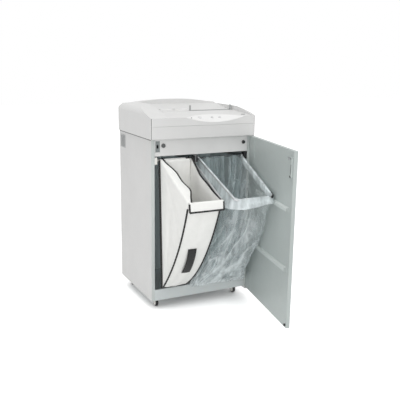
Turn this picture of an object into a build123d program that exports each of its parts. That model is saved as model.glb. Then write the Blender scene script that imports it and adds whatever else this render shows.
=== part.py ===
"""Cabinet shredder on casters: a crowned cutting head, a steel cabinet and two pull-out bag frames.

Millimetres. X runs to the right, Y to the back and Z up.
The origin is on the floor under the middle of the cabinet.
The door stands open and both bag frames are pulled out and tipped forward.
"""

import math
import os

from build123d import *

# Clearances and fits
RUN_FIT = 0.05  # radial, shaft in a bush or pin in a bore
SEAT_FIT = 0.02  # radial, pressed ring in its plate
FREE_GAP = 0.5  # between a moving piece and the piece that guides it
SOFT_GAP = 0.6  # between a bag and the rods that carry it

# Cabinet
CABINET_WIDTH = 520.0
CABINET_DEPTH = 420.0
CABINET_BASE = 50.0
CABINET_TOP = 826.0
SHEET = 1.5
FLANGE_WIDTH = 17.0
LIP_HEIGHT = 55.0
PANEL_RECESS = 4.5
PANEL_HEIGHT = 80.0
PANEL_RETURN = 30.0
DECK_DROP = 71.0
DECK_THICKNESS = 3.0

SIDE = CABINET_WIDTH / 2
INSIDE = SIDE - SHEET
FRONT = -CABINET_DEPTH / 2
BACK = CABINET_DEPTH / 2
FRONT_INSIDE = FRONT + SHEET
BACK_INSIDE = BACK - SHEET
PANEL_FRONT = FRONT_INSIDE + PANEL_RECESS
PANEL_BACK = PANEL_FRONT + SHEET
PANEL_BASE = CABINET_TOP - PANEL_HEIGHT
DECK_TOP = CABINET_TOP - DECK_DROP
DECK_BASE = DECK_TOP - DECK_THICKNESS

# Vent in the left wall, and mains fittings in the back wall
VENT_SIZE = 64.0
VENT_BACK_MARGIN = 18.0
VENT_TOP_MARGIN = 20.0
VENT_THICKNESS = 3.0
VENT_FRAME = 5.0
VENT_SLOTS = 7
VENT_SLOT_HEIGHT = 4.0
INLET_WIDTH = 48.0
INLET_HEIGHT = 28.0
INLET_SIDE_MARGIN = 90.0
INLET_DROP = 36.0
INLET_DEPTH = 26.0
INLET_WALL = 3.0
INLET_PIN_RADIUS = 2.0
INLET_PIN_PITCH = 8.0
SWITCH_GAP = 12.0
SWITCH_WIDTH = 22.0
ROCKER_THICKNESS = 6.0
ROCKER_AXLE_RADIUS = 2.0
ROCKER_SWING = 10.0

# Cutting head
HEAD_OVERHANG = 10.0
HEAD_FRONT_OVERHANG = 26.0
HEAD_BACK_OVERHANG = 0.0
HEAD_WALL = 3.0
HEAD_CORNER = 14.0
CREASE_RISE = 58.0
CREASE_STEP = 1.6
BROW_RISE = 94.0
BROW_SETBACK = 1.0
RIDGE_RISE = 152.0
RIDGE_SETBACK = 60.0
HEEL_RISE = 92.0
SHOULDER_RISE = 106.0
SHOULDER_WIDTH = 45.0
SHOULDER_CREST = 133.0
SHOULDER_SETBACK = 11.25
SHOULDER_LIFT = 18.0
TOP_CROWN = 9.7
HEEL_SETBACK = 15.0
HEEL_DROP = 20.0
SLOT_LAND_RISE = 105.0
RAMP_RISE = 129.0
TRAY_SETBACK = 60.0
DECK_LEFT_MARGIN = 40.0
RIGHT_CHEEK = 15.0

HEAD_SIDE = SIDE + HEAD_OVERHANG
HEAD_FRONT = FRONT - HEAD_FRONT_OVERHANG
HEAD_BACK = BACK + HEAD_BACK_OVERHANG
HEAD_BASE = CABINET_TOP
BROW_Y = HEAD_FRONT + BROW_SETBACK
BROW_Z = HEAD_BASE + BROW_RISE
CREASE_Z = HEAD_BASE + CREASE_RISE
RIDGE_Y = HEAD_BACK - RIDGE_SETBACK
RIDGE_Z = HEAD_BASE + RIDGE_RISE
LAND_Z = HEAD_BASE + SLOT_LAND_RISE
RAMP_Z = HEAD_BASE + RAMP_RISE
TRAY_BACK = BACK - TRAY_SETBACK
DECK_RIGHT = HEAD_SIDE - RIGHT_CHEEK

# Feed slots, on the line where the two cutter shafts meet
NIP_Y = -20.0
PAPER_OPENING = 228.0
PAPER_SIDE_MARGIN = 10.0
THROAT_DEPTH = 28.0
THROAT_WALL = 4.0
THROAT_MOUTH = 20.0
THROAT_NECK = 8.0
THROAT_DROP = 37.0
THROAT_LIP = 1.5
GUIDE_RISE = 26.0
GUIDE_DEPTH = 12.0
DISC_OPENING = 142.0
SLOT_SPACING = 20.0
BEZEL_DEPTH = 20.0
BEZEL_RISE = 12.0
BEZEL_WALL = 5.0
DISC_SLOT = 6.0
FINGER_NOTCH = 9.0

PAPER_RIGHT = SIDE - PAPER_SIDE_MARGIN
PAPER_LEFT = PAPER_RIGHT - PAPER_OPENING
DISC_RIGHT = PAPER_LEFT - SLOT_SPACING
DISC_LEFT = DISC_RIGHT - DISC_OPENING
DECK_LEFT = DISC_LEFT - DECK_LEFT_MARGIN

# Controls in a shallow scoop across the brow
FASCIA_THICKNESS = 2.0
FASCIA_WIDTH = 299.0
FASCIA_SIDE_MARGIN = 55.0
FASCIA_TILT = math.radians(20)
FASCIA_DROP = 23.5
BUTTON_ALONG = 0.54
BUTTON_PROUD = 2.0
BUTTON_BEVEL = 0.7
BUTTON_STEM = 7.0
BUTTON_TRAVEL = 2.0
START_INSET = 82.0
START_RADIUS = 10.0
STOP_INSET = 151.0
REVERSE_INSET = 188.0
SMALL_RADIUS = 7.0
LIGHT_INSET = 28.0
LIGHT_ALONG = 0.40
LIGHT_RADIUS = 2.5
WINDOW_SIDE_MARGIN = 34.0
WINDOW_SETBACK = 46.0
WINDOW_LENGTH = 22.0
WINDOW_WIDTH = 9.0
WINDOW_PROUD = 1.0

FASCIA_RIGHT = SIDE - FASCIA_SIDE_MARGIN
FASCIA_LEFT = FASCIA_RIGHT - FASCIA_WIDTH
FASCIA_MIDDLE = (FASCIA_LEFT + FASCIA_RIGHT) / 2
SCOOP_DEPTH = FASCIA_DROP * math.cos(FASCIA_TILT)
SCOOP_RADIUS = ((FASCIA_WIDTH / 2) ** 2 + SCOOP_DEPTH ** 2) / (2 * SCOOP_DEPTH)
LIGHT_X = FASCIA_LEFT + LIGHT_INSET
START_X = FASCIA_LEFT + START_INSET
STOP_X = FASCIA_LEFT + STOP_INSET
REVERSE_X = FASCIA_LEFT + REVERSE_INSET
WINDOW_X = SIDE - WINDOW_SIDE_MARGIN
WINDOW_Y = BROW_Y + WINDOW_SETBACK

# Cutting unit
SHAFT_RISE = 16.0
SHAFT_SPACING = 60.0
JOURNAL_RADIUS = 10.0
CORE_RADIUS = 15.0
KNIFE_RADIUS = 33.0
BUSH_RADIUS = 15.0
BUSH_OVERHANG = 1.0
PLATE_THICKNESS = 6.0
PLATE_RISE = 135.0
PLATE_DEPTH = 160.0
LEFT_PLATE_GAP = 10.0
MIDDLE_PLATE_GAP = 3.0
RIGHT_PLATE_LAP = 2.0
PAPER_PITCH = 8.0
PAPER_KNIVES = 27
PAPER_PACK_INSET = 6.0
DISC_PITCH = 12.0
DISC_KNIVES = 10
DISC_PACK_INSET = 9.0
KNIFE_GAP = 0.3
COMB_BAR = 10.0
COMB_HEIGHT = 12.0
TIE_RADIUS = 6.0
TIE_INSET = 10.0
TIE_LIFT = 20.0
BOLT_RADIUS = 4.0
BOLT_HEAD = 5.0
FOOT_LENGTH = 14.0
FOOT_HEIGHT = 4.0

SHAFT_Z = CABINET_TOP + SHAFT_RISE
LEFT_PLATE = DISC_LEFT - LEFT_PLATE_GAP
MIDDLE_PLATE = DISC_RIGHT + MIDDLE_PLATE_GAP
RIGHT_PLATE = PAPER_RIGHT - RIGHT_PLATE_LAP
PAPER_PACK = PAPER_LEFT + PAPER_PACK_INSET
DISC_PACK = DISC_LEFT + DISC_PACK_INSET
FRONT_SHAFT = NIP_Y - SHAFT_SPACING / 2
REAR_SHAFT = NIP_Y + SHAFT_SPACING / 2
PLATES = (LEFT_PLATE, MIDDLE_PLATE, RIGHT_PLATE)
PLATE_FRONT = NIP_Y - PLATE_DEPTH / 2
PLATE_BACK = NIP_Y + PLATE_DEPTH / 2
PLATE_TOP = DECK_TOP + PLATE_RISE
TIE_LEVELS = (DECK_TOP + TIE_LIFT, PLATE_TOP - TIE_INSET)
TIE_PLACES = [(y, z) for y in (PLATE_FRONT + TIE_INSET, PLATE_BACK - TIE_INSET) for z in TIE_LEVELS]

# Gears and motor
SYNC_TEETH = 20
SYNC_MODULE = SHAFT_SPACING / SYNC_TEETH
GEAR_GAP = 10.0
SYNC_WIDTH = 18.0
DRIVE_MODULE = 2.0
DRIVE_TEETH = 76
PINION_TEETH = 20
DRIVE_WIDTH = 14.0
BACKLASH = 0.25
PRESSURE_ANGLE = math.radians(20)
TOOTH_TIP = 0.95  # in modules above the pitch circle
TOOTH_ROOT = 1.25  # in modules below the pitch circle
MOTOR_RADIUS = 44.0
MOTOR_LENGTH = 140.0
MOTOR_SHAFT_RADIUS = 6.0
MOTOR_PLATE = 6.0
MOTOR_PLATE_WIDTH = 102.0
BOARD_WIDTH = 110.0
BOARD_DEPTH = 80.0
BOARD_SIDE_MARGIN = 90.0
BOARD_BACK_MARGIN = 70.0
BOARD_RISE = 10.0
BOARD_THICKNESS = 2.0
POST_RADIUS = 3.0

BOARD_X = SIDE - BOARD_SIDE_MARGIN
BOARD_Y = BACK - BOARD_BACK_MARGIN
SYNC_RIGHT = LEFT_PLATE - GEAR_GAP
SYNC_LEFT = SYNC_RIGHT - SYNC_WIDTH
DRIVE_RIGHT = SYNC_LEFT - GEAR_GAP
DRIVE_LEFT = DRIVE_RIGHT - DRIVE_WIDTH
MOTOR_Y = REAR_SHAFT + DRIVE_MODULE * (DRIVE_TEETH + PINION_TEETH) / 2
MOTOR_PLATE_LEFT = DRIVE_RIGHT + GEAR_GAP
MOTOR_LEFT = MOTOR_PLATE_LEFT + MOTOR_PLATE

# Chutes that lead the waste into the bags
CHUTE_WALL = 1.5
CHUTE_DROP = 8.0
CHUTE_MARGIN = 10.0
CHUTE_HEADROOM = 6.0
PAPER_EXIT_INSET = 60.0
DISC_EXIT_INSET = 54.0

PAPER_EXIT = PAPER_RIGHT - PAPER_EXIT_INSET
DISC_EXIT = DISC_RIGHT - DISC_EXIT_INSET
CHUTES = (
    (PAPER_LEFT + CHUTE_MARGIN, PAPER_EXIT, RIGHT_PLATE),
    (DISC_LEFT + CHUTE_MARGIN, DISC_EXIT, MIDDLE_PLATE),
)

# Bag rails, carriages and frames
RAIL_DROP = 27.0
SHOE_HEIGHT = 32.0
SHOE_LENGTH = 26.0
SHOE_FRONT_GAP = 1.5
WALL_RAIL_DEPTH = 22.0
WALL_SHOE_REACH = 8.0
CENTRE_INSET = 36.0
CENTRE_WEB = 2.0
CENTRE_FLANGE = 10.0
ROD_RADIUS = 4.0
ARM_CLEAR = 4.0
EYE_RADIUS = 8.0
EYE_WIDTH = 7.0
LEFT_FRAME_LENGTH = 343.0
LEFT_FRAME_TILT = 23.5
RIGHT_FRAME_LENGTH = 385.0
RIGHT_FRAME_TILT = 19.5
RIGHT_ARM_TOE_IN = 42.5
LEFT_ARM_INSET = 12.0
BEND_RADIUS = 14.0

RAIL_Z = DECK_BASE - RAIL_DROP
CENTRE_X = DISC_RIGHT - CENTRE_INSET
PIVOT_Y = FRONT_INSIDE + SHOE_FRONT_GAP + SHOE_LENGTH / 2
RAIL_TOP = RAIL_Z + SHOE_HEIGHT / 2 + FREE_GAP
RAIL_BASE = RAIL_Z - SHOE_HEIGHT / 2 - FREE_GAP
CENTRE_LEFT = CENTRE_X - CENTRE_WEB / 2
CENTRE_RIGHT = CENTRE_X + CENTRE_WEB / 2
WALL_SHOE = INSIDE - SHEET - FREE_GAP
WALL_SHOE_INNER = INSIDE - WALL_RAIL_DEPTH - WALL_SHOE_REACH
LEFT_ARM = -WALL_SHOE_INNER + ARM_CLEAR + ROD_RADIUS + LEFT_ARM_INSET
MIDDLE_ARM_LEFT = CENTRE_X - CENTRE_FLANGE - ARM_CLEAR - ROD_RADIUS
MIDDLE_ARM_RIGHT = CENTRE_X + CENTRE_FLANGE + ARM_CLEAR + ROD_RADIUS
RIGHT_ARM = WALL_SHOE_INNER - ARM_CLEAR - ROD_RADIUS
RIGHT_ARM_FRONT = RIGHT_ARM - RIGHT_ARM_TOE_IN

# Bags
CLOTH = 2.5
FILM = 1.5
BAG_TOP_INSET = 8.0
# Low corners of the bags, ahead of the pivot and up from the cabinet's base
FABRIC_BELLY_REACH = (230.0, 327.0)
FABRIC_TOE_REACH = (50.0, 77.0)
FABRIC_HEEL_REACH = (36.0, 70.0)
FILM_BELLY_REACH = (246.0, 300.0)
FILM_TOE_REACH = (86.0, 59.5)
FILM_HEEL_REACH = (6.0, 58.0)
STRAP_OFFSET = -14.25
STRAP_WIDTH = 40.0
STRAP_HEIGHTS = (169.0, 311.0)
STRAP_THICKNESS = 3.0
STRAP_STANDOFF = 0.4

# Door, hinged at the right and standing open
DOOR_OPEN = 79.5
DOOR_SIDE_GAP = 4.0
DOOR_LOWER = 4.0
DOOR_THICKNESS = 17.0
DOOR_FRONT_GAP = 2.0
HINGE_EDGE = 5.0
HINGE_INSET = 9.0
HINGE_PROUD = 1.0
DOOR_LIP = 12.0
PIN_RADIUS = 4.0
PIN_LENGTH = 16.0
BRACKET_WIDTH = 22.0
BRACKET_SEAT = 20.0
BRACKET_THICKNESS = 3.0
HINGE_PLATE_WIDTH = 54.0
HINGE_PLATE_HEIGHT = 88.0
HINGE_PLATE_THICKNESS = 2.0
RIB_WIDTH = 24.0
RIB_RISE = 9.0
RIB_TAPER = 30.0
RIB_START = 110.0
RIB_END_GAP = 28.0
RIB_RISES = (522.0, 258.0)
LOCK_WIDTH = 24.0
LOCK_HEIGHT = 86.0
LOCK_THICKNESS = 7.0
LOCK_DROP = 38.0
LOCK_EDGE = 8.5
CAM_THICKNESS = 3.0
CAM_SPINDLE = 2.0
CAM_COLLAR = 3.5
PAD_RADIUS = 6.0
PAD_HEIGHT = 5.0
PAD_INSET = 12.0

DOOR_LENGTH = CABINET_WIDTH - DOOR_SIDE_GAP
DOOR_BASE = CABINET_BASE - DOOR_LOWER
DOOR_TOP = CABINET_TOP - DOOR_LOWER
HINGE_X = SIDE + HINGE_PROUD
DOOR_CLOSED_FACE = FRONT - DOOR_FRONT_GAP
HINGE_Y = DOOR_CLOSED_FACE - HINGE_INSET
DOOR_FREE = DOOR_LENGTH - HINGE_EDGE
DOOR_INNER = -HINGE_INSET
DOOR_OUTER = DOOR_THICKNESS - HINGE_INSET

# Fittings on the cross panel
STRIKE_SIDE_MARGIN = 35.0
STRIKE_DROP = 36.0
STRIKE_WIDTH = 22.0
STRIKE_HEIGHT = 51.0
STRIKE_MARGIN = 6.0
STRIKE_SLOT_WIDTH = 8.0
STRIKE_SLOT_HEIGHT = 16.0
BUFFER_SPACING = 27.0
BUFFER_LIFT = 4.0
BUFFER_RADIUS = 9.5
BUFFER_BEVEL = 2.0
PLUNGER_SIDE_MARGIN = 37.0
PLUNGER_DROP = 35.0
PLUNGER_RADIUS = 8.0
PLUNGER_PROUD = 9.0
PLUNGER_ROUND = 4.0
PLUNGER_TRAVEL = 6.0
PLUNGER_BODY = 26.0
PLUNGER_BODY_DEPTH = 22.0

STRIKE_X = -SIDE + STRIKE_SIDE_MARGIN
STRIKE_Z = CABINET_TOP - STRIKE_DROP
BUFFER_X = STRIKE_X + BUFFER_SPACING
BUFFER_Z = STRIKE_Z + BUFFER_LIFT
PLUNGER_X = SIDE - PLUNGER_SIDE_MARGIN
PLUNGER_Z = CABINET_TOP - PLUNGER_DROP

# Casters
CASTER_SIDE_MARGIN = 45.0
CASTER_FRONT_MARGIN = 44.0
CASTER_BACK_MARGIN = 60.0
WHEEL_RADIUS = 20.0
WHEEL_WIDTH = 14.0
TREAD_ROUND = 3.0
CASTER_TRAIL = 14.0
CASTER_PLATE = 44.0
CASTER_PLATE_THICKNESS = 2.0
HOUSING_RADIUS = 14.0
CROWN_RADIUS = 13.0
CROWN_THICKNESS = 3.2
FORK_CHEEK = 2.5
FORK_GAP = 1.0
AXLE_RADIUS = 3.0
KINGPIN_RADIUS = 4.0
KINGPIN_LENGTH = 3.4
KINGPIN_END_GAP = 0.5
WHEEL_TOP_GAP = 0.6
SWIVEL_GAP = 0.3

CASTER_X = SIDE - CASTER_SIDE_MARGIN
CASTER_FRONT = FRONT + CASTER_FRONT_MARGIN
CASTER_BACK = BACK - CASTER_BACK_MARGIN
CASTERS = {
    "front_left": (-CASTER_X, CASTER_FRONT),
    "front_right": (CASTER_X, CASTER_FRONT),
    "rear_left": (-CASTER_X, CASTER_BACK),
    "rear_right": (CASTER_X, CASTER_BACK),
}

ALONG_X = (0, 90, 0)
ALONG_Y = (90, 0, 0)
pieces = {}


def block(x_range, y_range, z_range, mode=Mode.ADD):
    """Box between two faces along each axis, in the part being built."""
    spans = (x_range, y_range, z_range)
    with Locations(tuple(sum(span) / 2 for span in spans)):
        Box(*(span[1] - span[0] for span in spans), mode=mode)


def bar(center, radius, length, rotation=(0, 0, 0), mode=Mode.ADD):
    """Round bar about its centre, upright unless it is rotated."""
    with Locations(center):
        Cylinder(radius, length, rotation=rotation, mode=mode)


# Cabinet: folded sides and back with front flanges
VENT_Y = BACK - VENT_BACK_MARGIN - VENT_SIZE / 2
VENT_Z = CABINET_TOP - VENT_TOP_MARGIN - VENT_SIZE / 2
INLET_X = -SIDE + INLET_SIDE_MARGIN
INLET_Z = CABINET_TOP - INLET_DROP
SWITCH_X = INLET_X + INLET_WIDTH / 2 + SWITCH_GAP + SWITCH_WIDTH / 2

with BuildPart() as cabinet_shell:
    with BuildSketch(Plane.XY.offset(CABINET_BASE)):
        Rectangle(CABINET_WIDTH, CABINET_DEPTH)
        Rectangle(2 * INSIDE, CABINET_DEPTH - 2 * SHEET, mode=Mode.SUBTRACT)
        with Locations((0, FRONT + SHEET / 2)):
            Rectangle(CABINET_WIDTH - 2 * FLANGE_WIDTH, SHEET, mode=Mode.SUBTRACT)
    extrude(amount=CABINET_TOP - CABINET_BASE)
    with Locations((-SIDE + SHEET / 2, VENT_Y, VENT_Z)):
        Box(2 * SHEET, VENT_SIZE, VENT_SIZE, mode=Mode.SUBTRACT)
    with Locations((INLET_X, BACK - SHEET / 2, INLET_Z)):
        Box(INLET_WIDTH, 2 * SHEET, INLET_HEIGHT, mode=Mode.SUBTRACT)
    with Locations((SWITCH_X, BACK - SHEET / 2, INLET_Z)):
        Box(SWITCH_WIDTH, 2 * SHEET, INLET_HEIGHT, mode=Mode.SUBTRACT)
pieces["cabinet_shell"] = cabinet_shell

with BuildPart() as floor_pan:
    block((-INSIDE, INSIDE), (FRONT_INSIDE, BACK_INSIDE), (CABINET_BASE, CABINET_BASE + SHEET))
    opening_half = SIDE - FLANGE_WIDTH
    block((-opening_half, opening_half), (FRONT, FRONT_INSIDE), (CABINET_BASE, CABINET_BASE + LIP_HEIGHT))
pieces["floor_pan"] = floor_pan

with BuildPart() as cross_panel:
    block((-INSIDE, INSIDE), (PANEL_FRONT, PANEL_BACK), (PANEL_BASE, CABINET_TOP))
    block((-INSIDE, INSIDE), (PANEL_BACK, PANEL_FRONT + PANEL_RETURN), (PANEL_BASE, PANEL_BASE + SHEET))
    with Locations((STRIKE_X, PANEL_FRONT + SHEET / 2, STRIKE_Z)):
        Box(STRIKE_WIDTH, 2 * SHEET, STRIKE_HEIGHT, mode=Mode.SUBTRACT)
    plunger_hole = (PLUNGER_X, PANEL_FRONT + SHEET / 2, PLUNGER_Z)
    bar(plunger_hole, PLUNGER_RADIUS + FREE_GAP, 2 * SHEET, ALONG_Y, Mode.SUBTRACT)
pieces["cross_panel"] = cross_panel

with BuildPart() as side_vent_grille:
    with BuildSketch(Plane.YZ.offset(-INSIDE - VENT_THICKNESS)):
        with Locations((VENT_Y, VENT_Z)):
            Rectangle(VENT_SIZE, VENT_SIZE)
        slot_pitch = (VENT_SIZE - 2 * VENT_FRAME) / VENT_SLOTS
        with Locations((VENT_Y, VENT_Z)):
            with GridLocations(0, slot_pitch, 1, VENT_SLOTS):
                Rectangle(VENT_SIZE - 2 * VENT_FRAME, VENT_SLOT_HEIGHT, mode=Mode.SUBTRACT)
    extrude(amount=VENT_THICKNESS)
pieces["side_vent_grille"] = side_vent_grille

with BuildPart() as deck_plate:
    block((-INSIDE, INSIDE), (PANEL_BACK, BACK_INSIDE), (DECK_BASE, DECK_TOP))
    for left, right, _ in CHUTES:
        with Locations(((left + right) / 2, NIP_Y, DECK_TOP)):
            Box(right - left, SHAFT_SPACING, 4 * DECK_THICKNESS, mode=Mode.SUBTRACT)
pieces["deck_plate"] = deck_plate

with BuildPart() as waste_chutes:
    for left, right, plate in CHUTES:
        with BuildSketch(Plane.XY.offset(DECK_BASE - CHUTE_DROP)):
            with Locations(((left + right) / 2, NIP_Y)):
                Rectangle(right - left + 2 * CHUTE_WALL, SHAFT_SPACING + 2 * CHUTE_WALL)
                Rectangle(right - left, SHAFT_SPACING, mode=Mode.SUBTRACT)
        extrude(amount=CHUTE_DROP)
        slide_top = SHAFT_Z - KNIFE_RADIUS - CHUTE_HEADROOM
        with BuildSketch(Plane.XZ.offset(-NIP_Y)):
            with BuildLine():
                Polyline(
                    (plate, slide_top),
                    (right, DECK_TOP),
                    (right + 2 * CHUTE_WALL, DECK_TOP),
                    (plate, slide_top - 2 * CHUTE_WALL),
                    close=True,
                )
            make_face()
        extrude(amount=SHAFT_SPACING / 2, both=True)
pieces["waste_chutes"] = waste_chutes

# Mains inlet and rocker switch, sunk into the back wall
ROCKER_AXIS = BACK - ROCKER_THICKNESS * 3 / 2
with BuildPart() as power_module:
    module_front = BACK - INLET_DEPTH
    module_left = INLET_X - INLET_WIDTH / 2 - INLET_WALL
    module_right = SWITCH_X + SWITCH_WIDTH / 2 + INLET_WALL
    well_z = (INLET_Z - INLET_HEIGHT / 2, INLET_Z + INLET_HEIGHT / 2)
    module_z = (well_z[0] - INLET_WALL, well_z[1] + INLET_WALL)
    block((module_left, module_right), (module_front, BACK_INSIDE), module_z)
    for well_x, well_width in ((INLET_X, INLET_WIDTH), (SWITCH_X, SWITCH_WIDTH)):
        well = (well_x - well_width / 2, well_x + well_width / 2)
        block(well, (module_front + INLET_WALL, BACK), well_z, Mode.SUBTRACT)
    pin_length = INLET_DEPTH - 2 * INLET_WALL
    with Locations((INLET_X, module_front + INLET_WALL + pin_length / 2, INLET_Z)):
        with GridLocations(INLET_PIN_PITCH, 0, 3, 1):
            Cylinder(INLET_PIN_RADIUS, pin_length, rotation=ALONG_Y)
    bar((SWITCH_X, ROCKER_AXIS, INLET_Z), ROCKER_AXLE_RADIUS, SWITCH_WIDTH + 2 * INLET_WALL, ALONG_X)
pieces["power_module"] = power_module

with BuildPart() as main_switch_rocker:
    lean = math.tan(math.radians(ROCKER_SWING))
    rocker_half = INLET_HEIGHT / 2 - FREE_GAP - ROCKER_THICKNESS * lean
    with BuildSketch(Plane.YZ.offset(SWITCH_X)):
        with BuildLine():
            Polyline(
                (ROCKER_AXIS - ROCKER_THICKNESS / 2, INLET_Z - rocker_half),
                (ROCKER_AXIS + ROCKER_THICKNESS / 2 - rocker_half * lean, INLET_Z - rocker_half),
                (ROCKER_AXIS + ROCKER_THICKNESS / 2, INLET_Z),
                (ROCKER_AXIS + ROCKER_THICKNESS / 2 - rocker_half * lean, INLET_Z + rocker_half),
                (ROCKER_AXIS - ROCKER_THICKNESS / 2, INLET_Z + rocker_half),
                close=True,
            )
        make_face()
        with Locations((ROCKER_AXIS, INLET_Z)):
            Circle(ROCKER_AXLE_RADIUS + RUN_FIT, mode=Mode.SUBTRACT)
    extrude(amount=SWITCH_WIDTH / 2 - FREE_GAP, both=True)
pieces["main_switch_rocker"] = main_switch_rocker


# Cutting head cover: a crowned shell with a sunken deck for the feed slots
def head_form(inset):
    """Crowned head block, drawn in by the inset on every side but its base."""
    front = HEAD_FRONT + inset
    back = HEAD_BACK - inset
    half = HEAD_SIDE - inset
    crest = RIDGE_Z - inset
    brow = (BROW_Y + inset, BROW_Z - inset)
    low_front = front + CREASE_STEP
    ridge = (RIDGE_Y, crest)
    heel = (back, HEAD_BASE + HEEL_RISE - inset)
    shoulder = HEAD_BASE + SHOULDER_RISE - inset
    shoulder_crest = HEAD_BASE + SHOULDER_CREST - inset
    with BuildPart() as form:
        with BuildSketch(Plane.YZ):
            with BuildLine():
                Polyline(
                    (back, heel[1]),
                    (back, HEAD_BASE),
                    (low_front, HEAD_BASE),
                    (low_front, CREASE_Z - CREASE_STEP),
                    (front, CREASE_Z),
                    brow,
                )
                sweep_mid = ((brow[0] + ridge[0]) / 2, (brow[1] + ridge[1]) / 2 + TOP_CROWN)
                ThreePointArc(brow, sweep_mid, ridge)
                rear_mid = (back - HEEL_SETBACK, crest - HEEL_DROP)
                ThreePointArc(ridge, rear_mid, heel)
            make_face()
        extrude(amount=half, both=True)
        with BuildSketch(Plane.XZ):
            with BuildLine():
                Polyline((-half, shoulder), (-half, HEAD_BASE), (half, HEAD_BASE), (half, shoulder))
                rim = half - SHOULDER_WIDTH
                bend = half - SHOULDER_SETBACK
                bend_z = shoulder + SHOULDER_LIFT
                ThreePointArc((half, shoulder), (bend, bend_z), (rim, shoulder_crest))
                ThreePointArc((rim, shoulder_crest), (0, crest), (-rim, shoulder_crest))
                ThreePointArc((-rim, shoulder_crest), (-bend, bend_z), (-half, shoulder))
            make_face()
        extrude(amount=CABINET_DEPTH, both=True, mode=Mode.INTERSECT)
        with BuildSketch(Plane.XY.offset(HEAD_BASE)):
            with Locations((0, (front + back) / 2)):
                RectangleRounded(2 * half, back - front, HEAD_CORNER)
        extrude(amount=2 * RIDGE_RISE, mode=Mode.INTERSECT)
    return form.part


def deck_space(grow):
    """Space above the sunken deck, grown by a wall for the inside of the shell."""
    above = RIDGE_Z + RIDGE_RISE
    ahead = HEAD_FRONT - RIDGE_RISE
    tray_wall = TRAY_BACK + grow
    with BuildPart() as space:
        with BuildSketch(Plane.YZ.offset(DECK_LEFT - grow)):
            with BuildLine():
                Polyline(
                    (ahead, BROW_Z - grow),
                    (BROW_Y, BROW_Z - grow),
                    (NIP_Y - THROAT_DEPTH, LAND_Z - grow),
                    (NIP_Y + THROAT_DEPTH, LAND_Z - grow),
                    (tray_wall, RAMP_Z - grow),
                    (tray_wall, above),
                    (ahead, above),
                    close=True,
                )
            make_face()
        extrude(amount=DECK_RIGHT - DECK_LEFT + 2 * grow)
    return space.part


def fascia_scoop(sink):
    """Shallow round scoop across the head's front edge, sunk further by the given depth."""
    lift = SCOOP_RADIUS - SCOOP_DEPTH - sink
    middle = (FASCIA_MIDDLE, HEAD_FRONT - lift * math.sin(FASCIA_TILT), BROW_Z + lift * math.cos(FASCIA_TILT))
    with BuildPart() as scoop:
        up_slope = (0, math.cos(FASCIA_TILT), math.sin(FASCIA_TILT))
        with BuildSketch(Plane(origin=middle, x_dir=(1, 0, 0), z_dir=up_slope)):
            Circle(SCOOP_RADIUS)
        extrude(amount=RIDGE_RISE, both=True)
    return scoop.part


def brow_plane(x, along):
    """Plane on the floor of the scoop, its normal pointing out of the head."""
    flat = math.sqrt(SCOOP_RADIUS ** 2 - (x - FASCIA_MIDDLE) ** 2)
    depth = SCOOP_DEPTH + FASCIA_THICKNESS - (SCOOP_RADIUS - flat)
    deck_tilt = math.atan2(LAND_Z - BROW_Z, NIP_Y - THROAT_DEPTH - BROW_Y)
    low = -depth * math.tan(FASCIA_TILT)
    high = depth / math.tan(FASCIA_TILT - deck_tilt)
    climb = low + along * (high - low)
    y = HEAD_FRONT + depth * math.sin(FASCIA_TILT) + climb * math.cos(FASCIA_TILT)
    z = BROW_Z - depth * math.cos(FASCIA_TILT) + climb * math.sin(FASCIA_TILT)
    return Plane(origin=(x, y, z), x_dir=(1, 0, 0), z_dir=(0, -math.sin(FASCIA_TILT), math.cos(FASCIA_TILT)))


BUTTONS = {
    "start_button": (START_X, START_RADIUS),
    "stop_button": (STOP_X, SMALL_RADIUS),
    "reverse_button": (REVERSE_X, SMALL_RADIUS),
}

with BuildPart() as head_hollow:
    add(head_form(HEAD_WALL))
    add(deck_space(HEAD_WALL), mode=Mode.SUBTRACT)
    add(fascia_scoop(FASCIA_THICKNESS + HEAD_WALL), mode=Mode.SUBTRACT)
    block((-HEAD_SIDE, HEAD_SIDE), (HEAD_FRONT, HEAD_BACK), (HEAD_BASE, HEAD_BASE + HEAD_WALL), Mode.SUBTRACT)

with BuildPart() as head_cover:
    add(head_form(0))
    add(deck_space(0), mode=Mode.SUBTRACT)
    add(fascia_scoop(FASCIA_THICKNESS), mode=Mode.SUBTRACT)
    add(head_hollow.part, mode=Mode.SUBTRACT)
    block((-INSIDE + SHEET, INSIDE - SHEET), (PANEL_BACK, BACK_INSIDE - SHEET),
          (HEAD_BASE, HEAD_BASE + HEAD_WALL), Mode.SUBTRACT)
    block((PAPER_LEFT, PAPER_RIGHT), (NIP_Y - THROAT_DEPTH / 2, NIP_Y + THROAT_DEPTH / 2),
          (LAND_Z - 2 * HEAD_WALL, LAND_Z + HEAD_WALL), Mode.SUBTRACT)
    block((DISC_LEFT, DISC_RIGHT), (NIP_Y - BEZEL_DEPTH / 2, NIP_Y + BEZEL_DEPTH / 2),
          (LAND_Z - 2 * HEAD_WALL, LAND_Z + HEAD_WALL), Mode.SUBTRACT)
    for button_x, button_radius in BUTTONS.values():
        with BuildSketch(brow_plane(button_x, BUTTON_ALONG)):
            Circle(button_radius + FREE_GAP)
        extrude(amount=4 * HEAD_WALL, both=True, mode=Mode.SUBTRACT)
pieces["head_cover"] = head_cover


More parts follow.
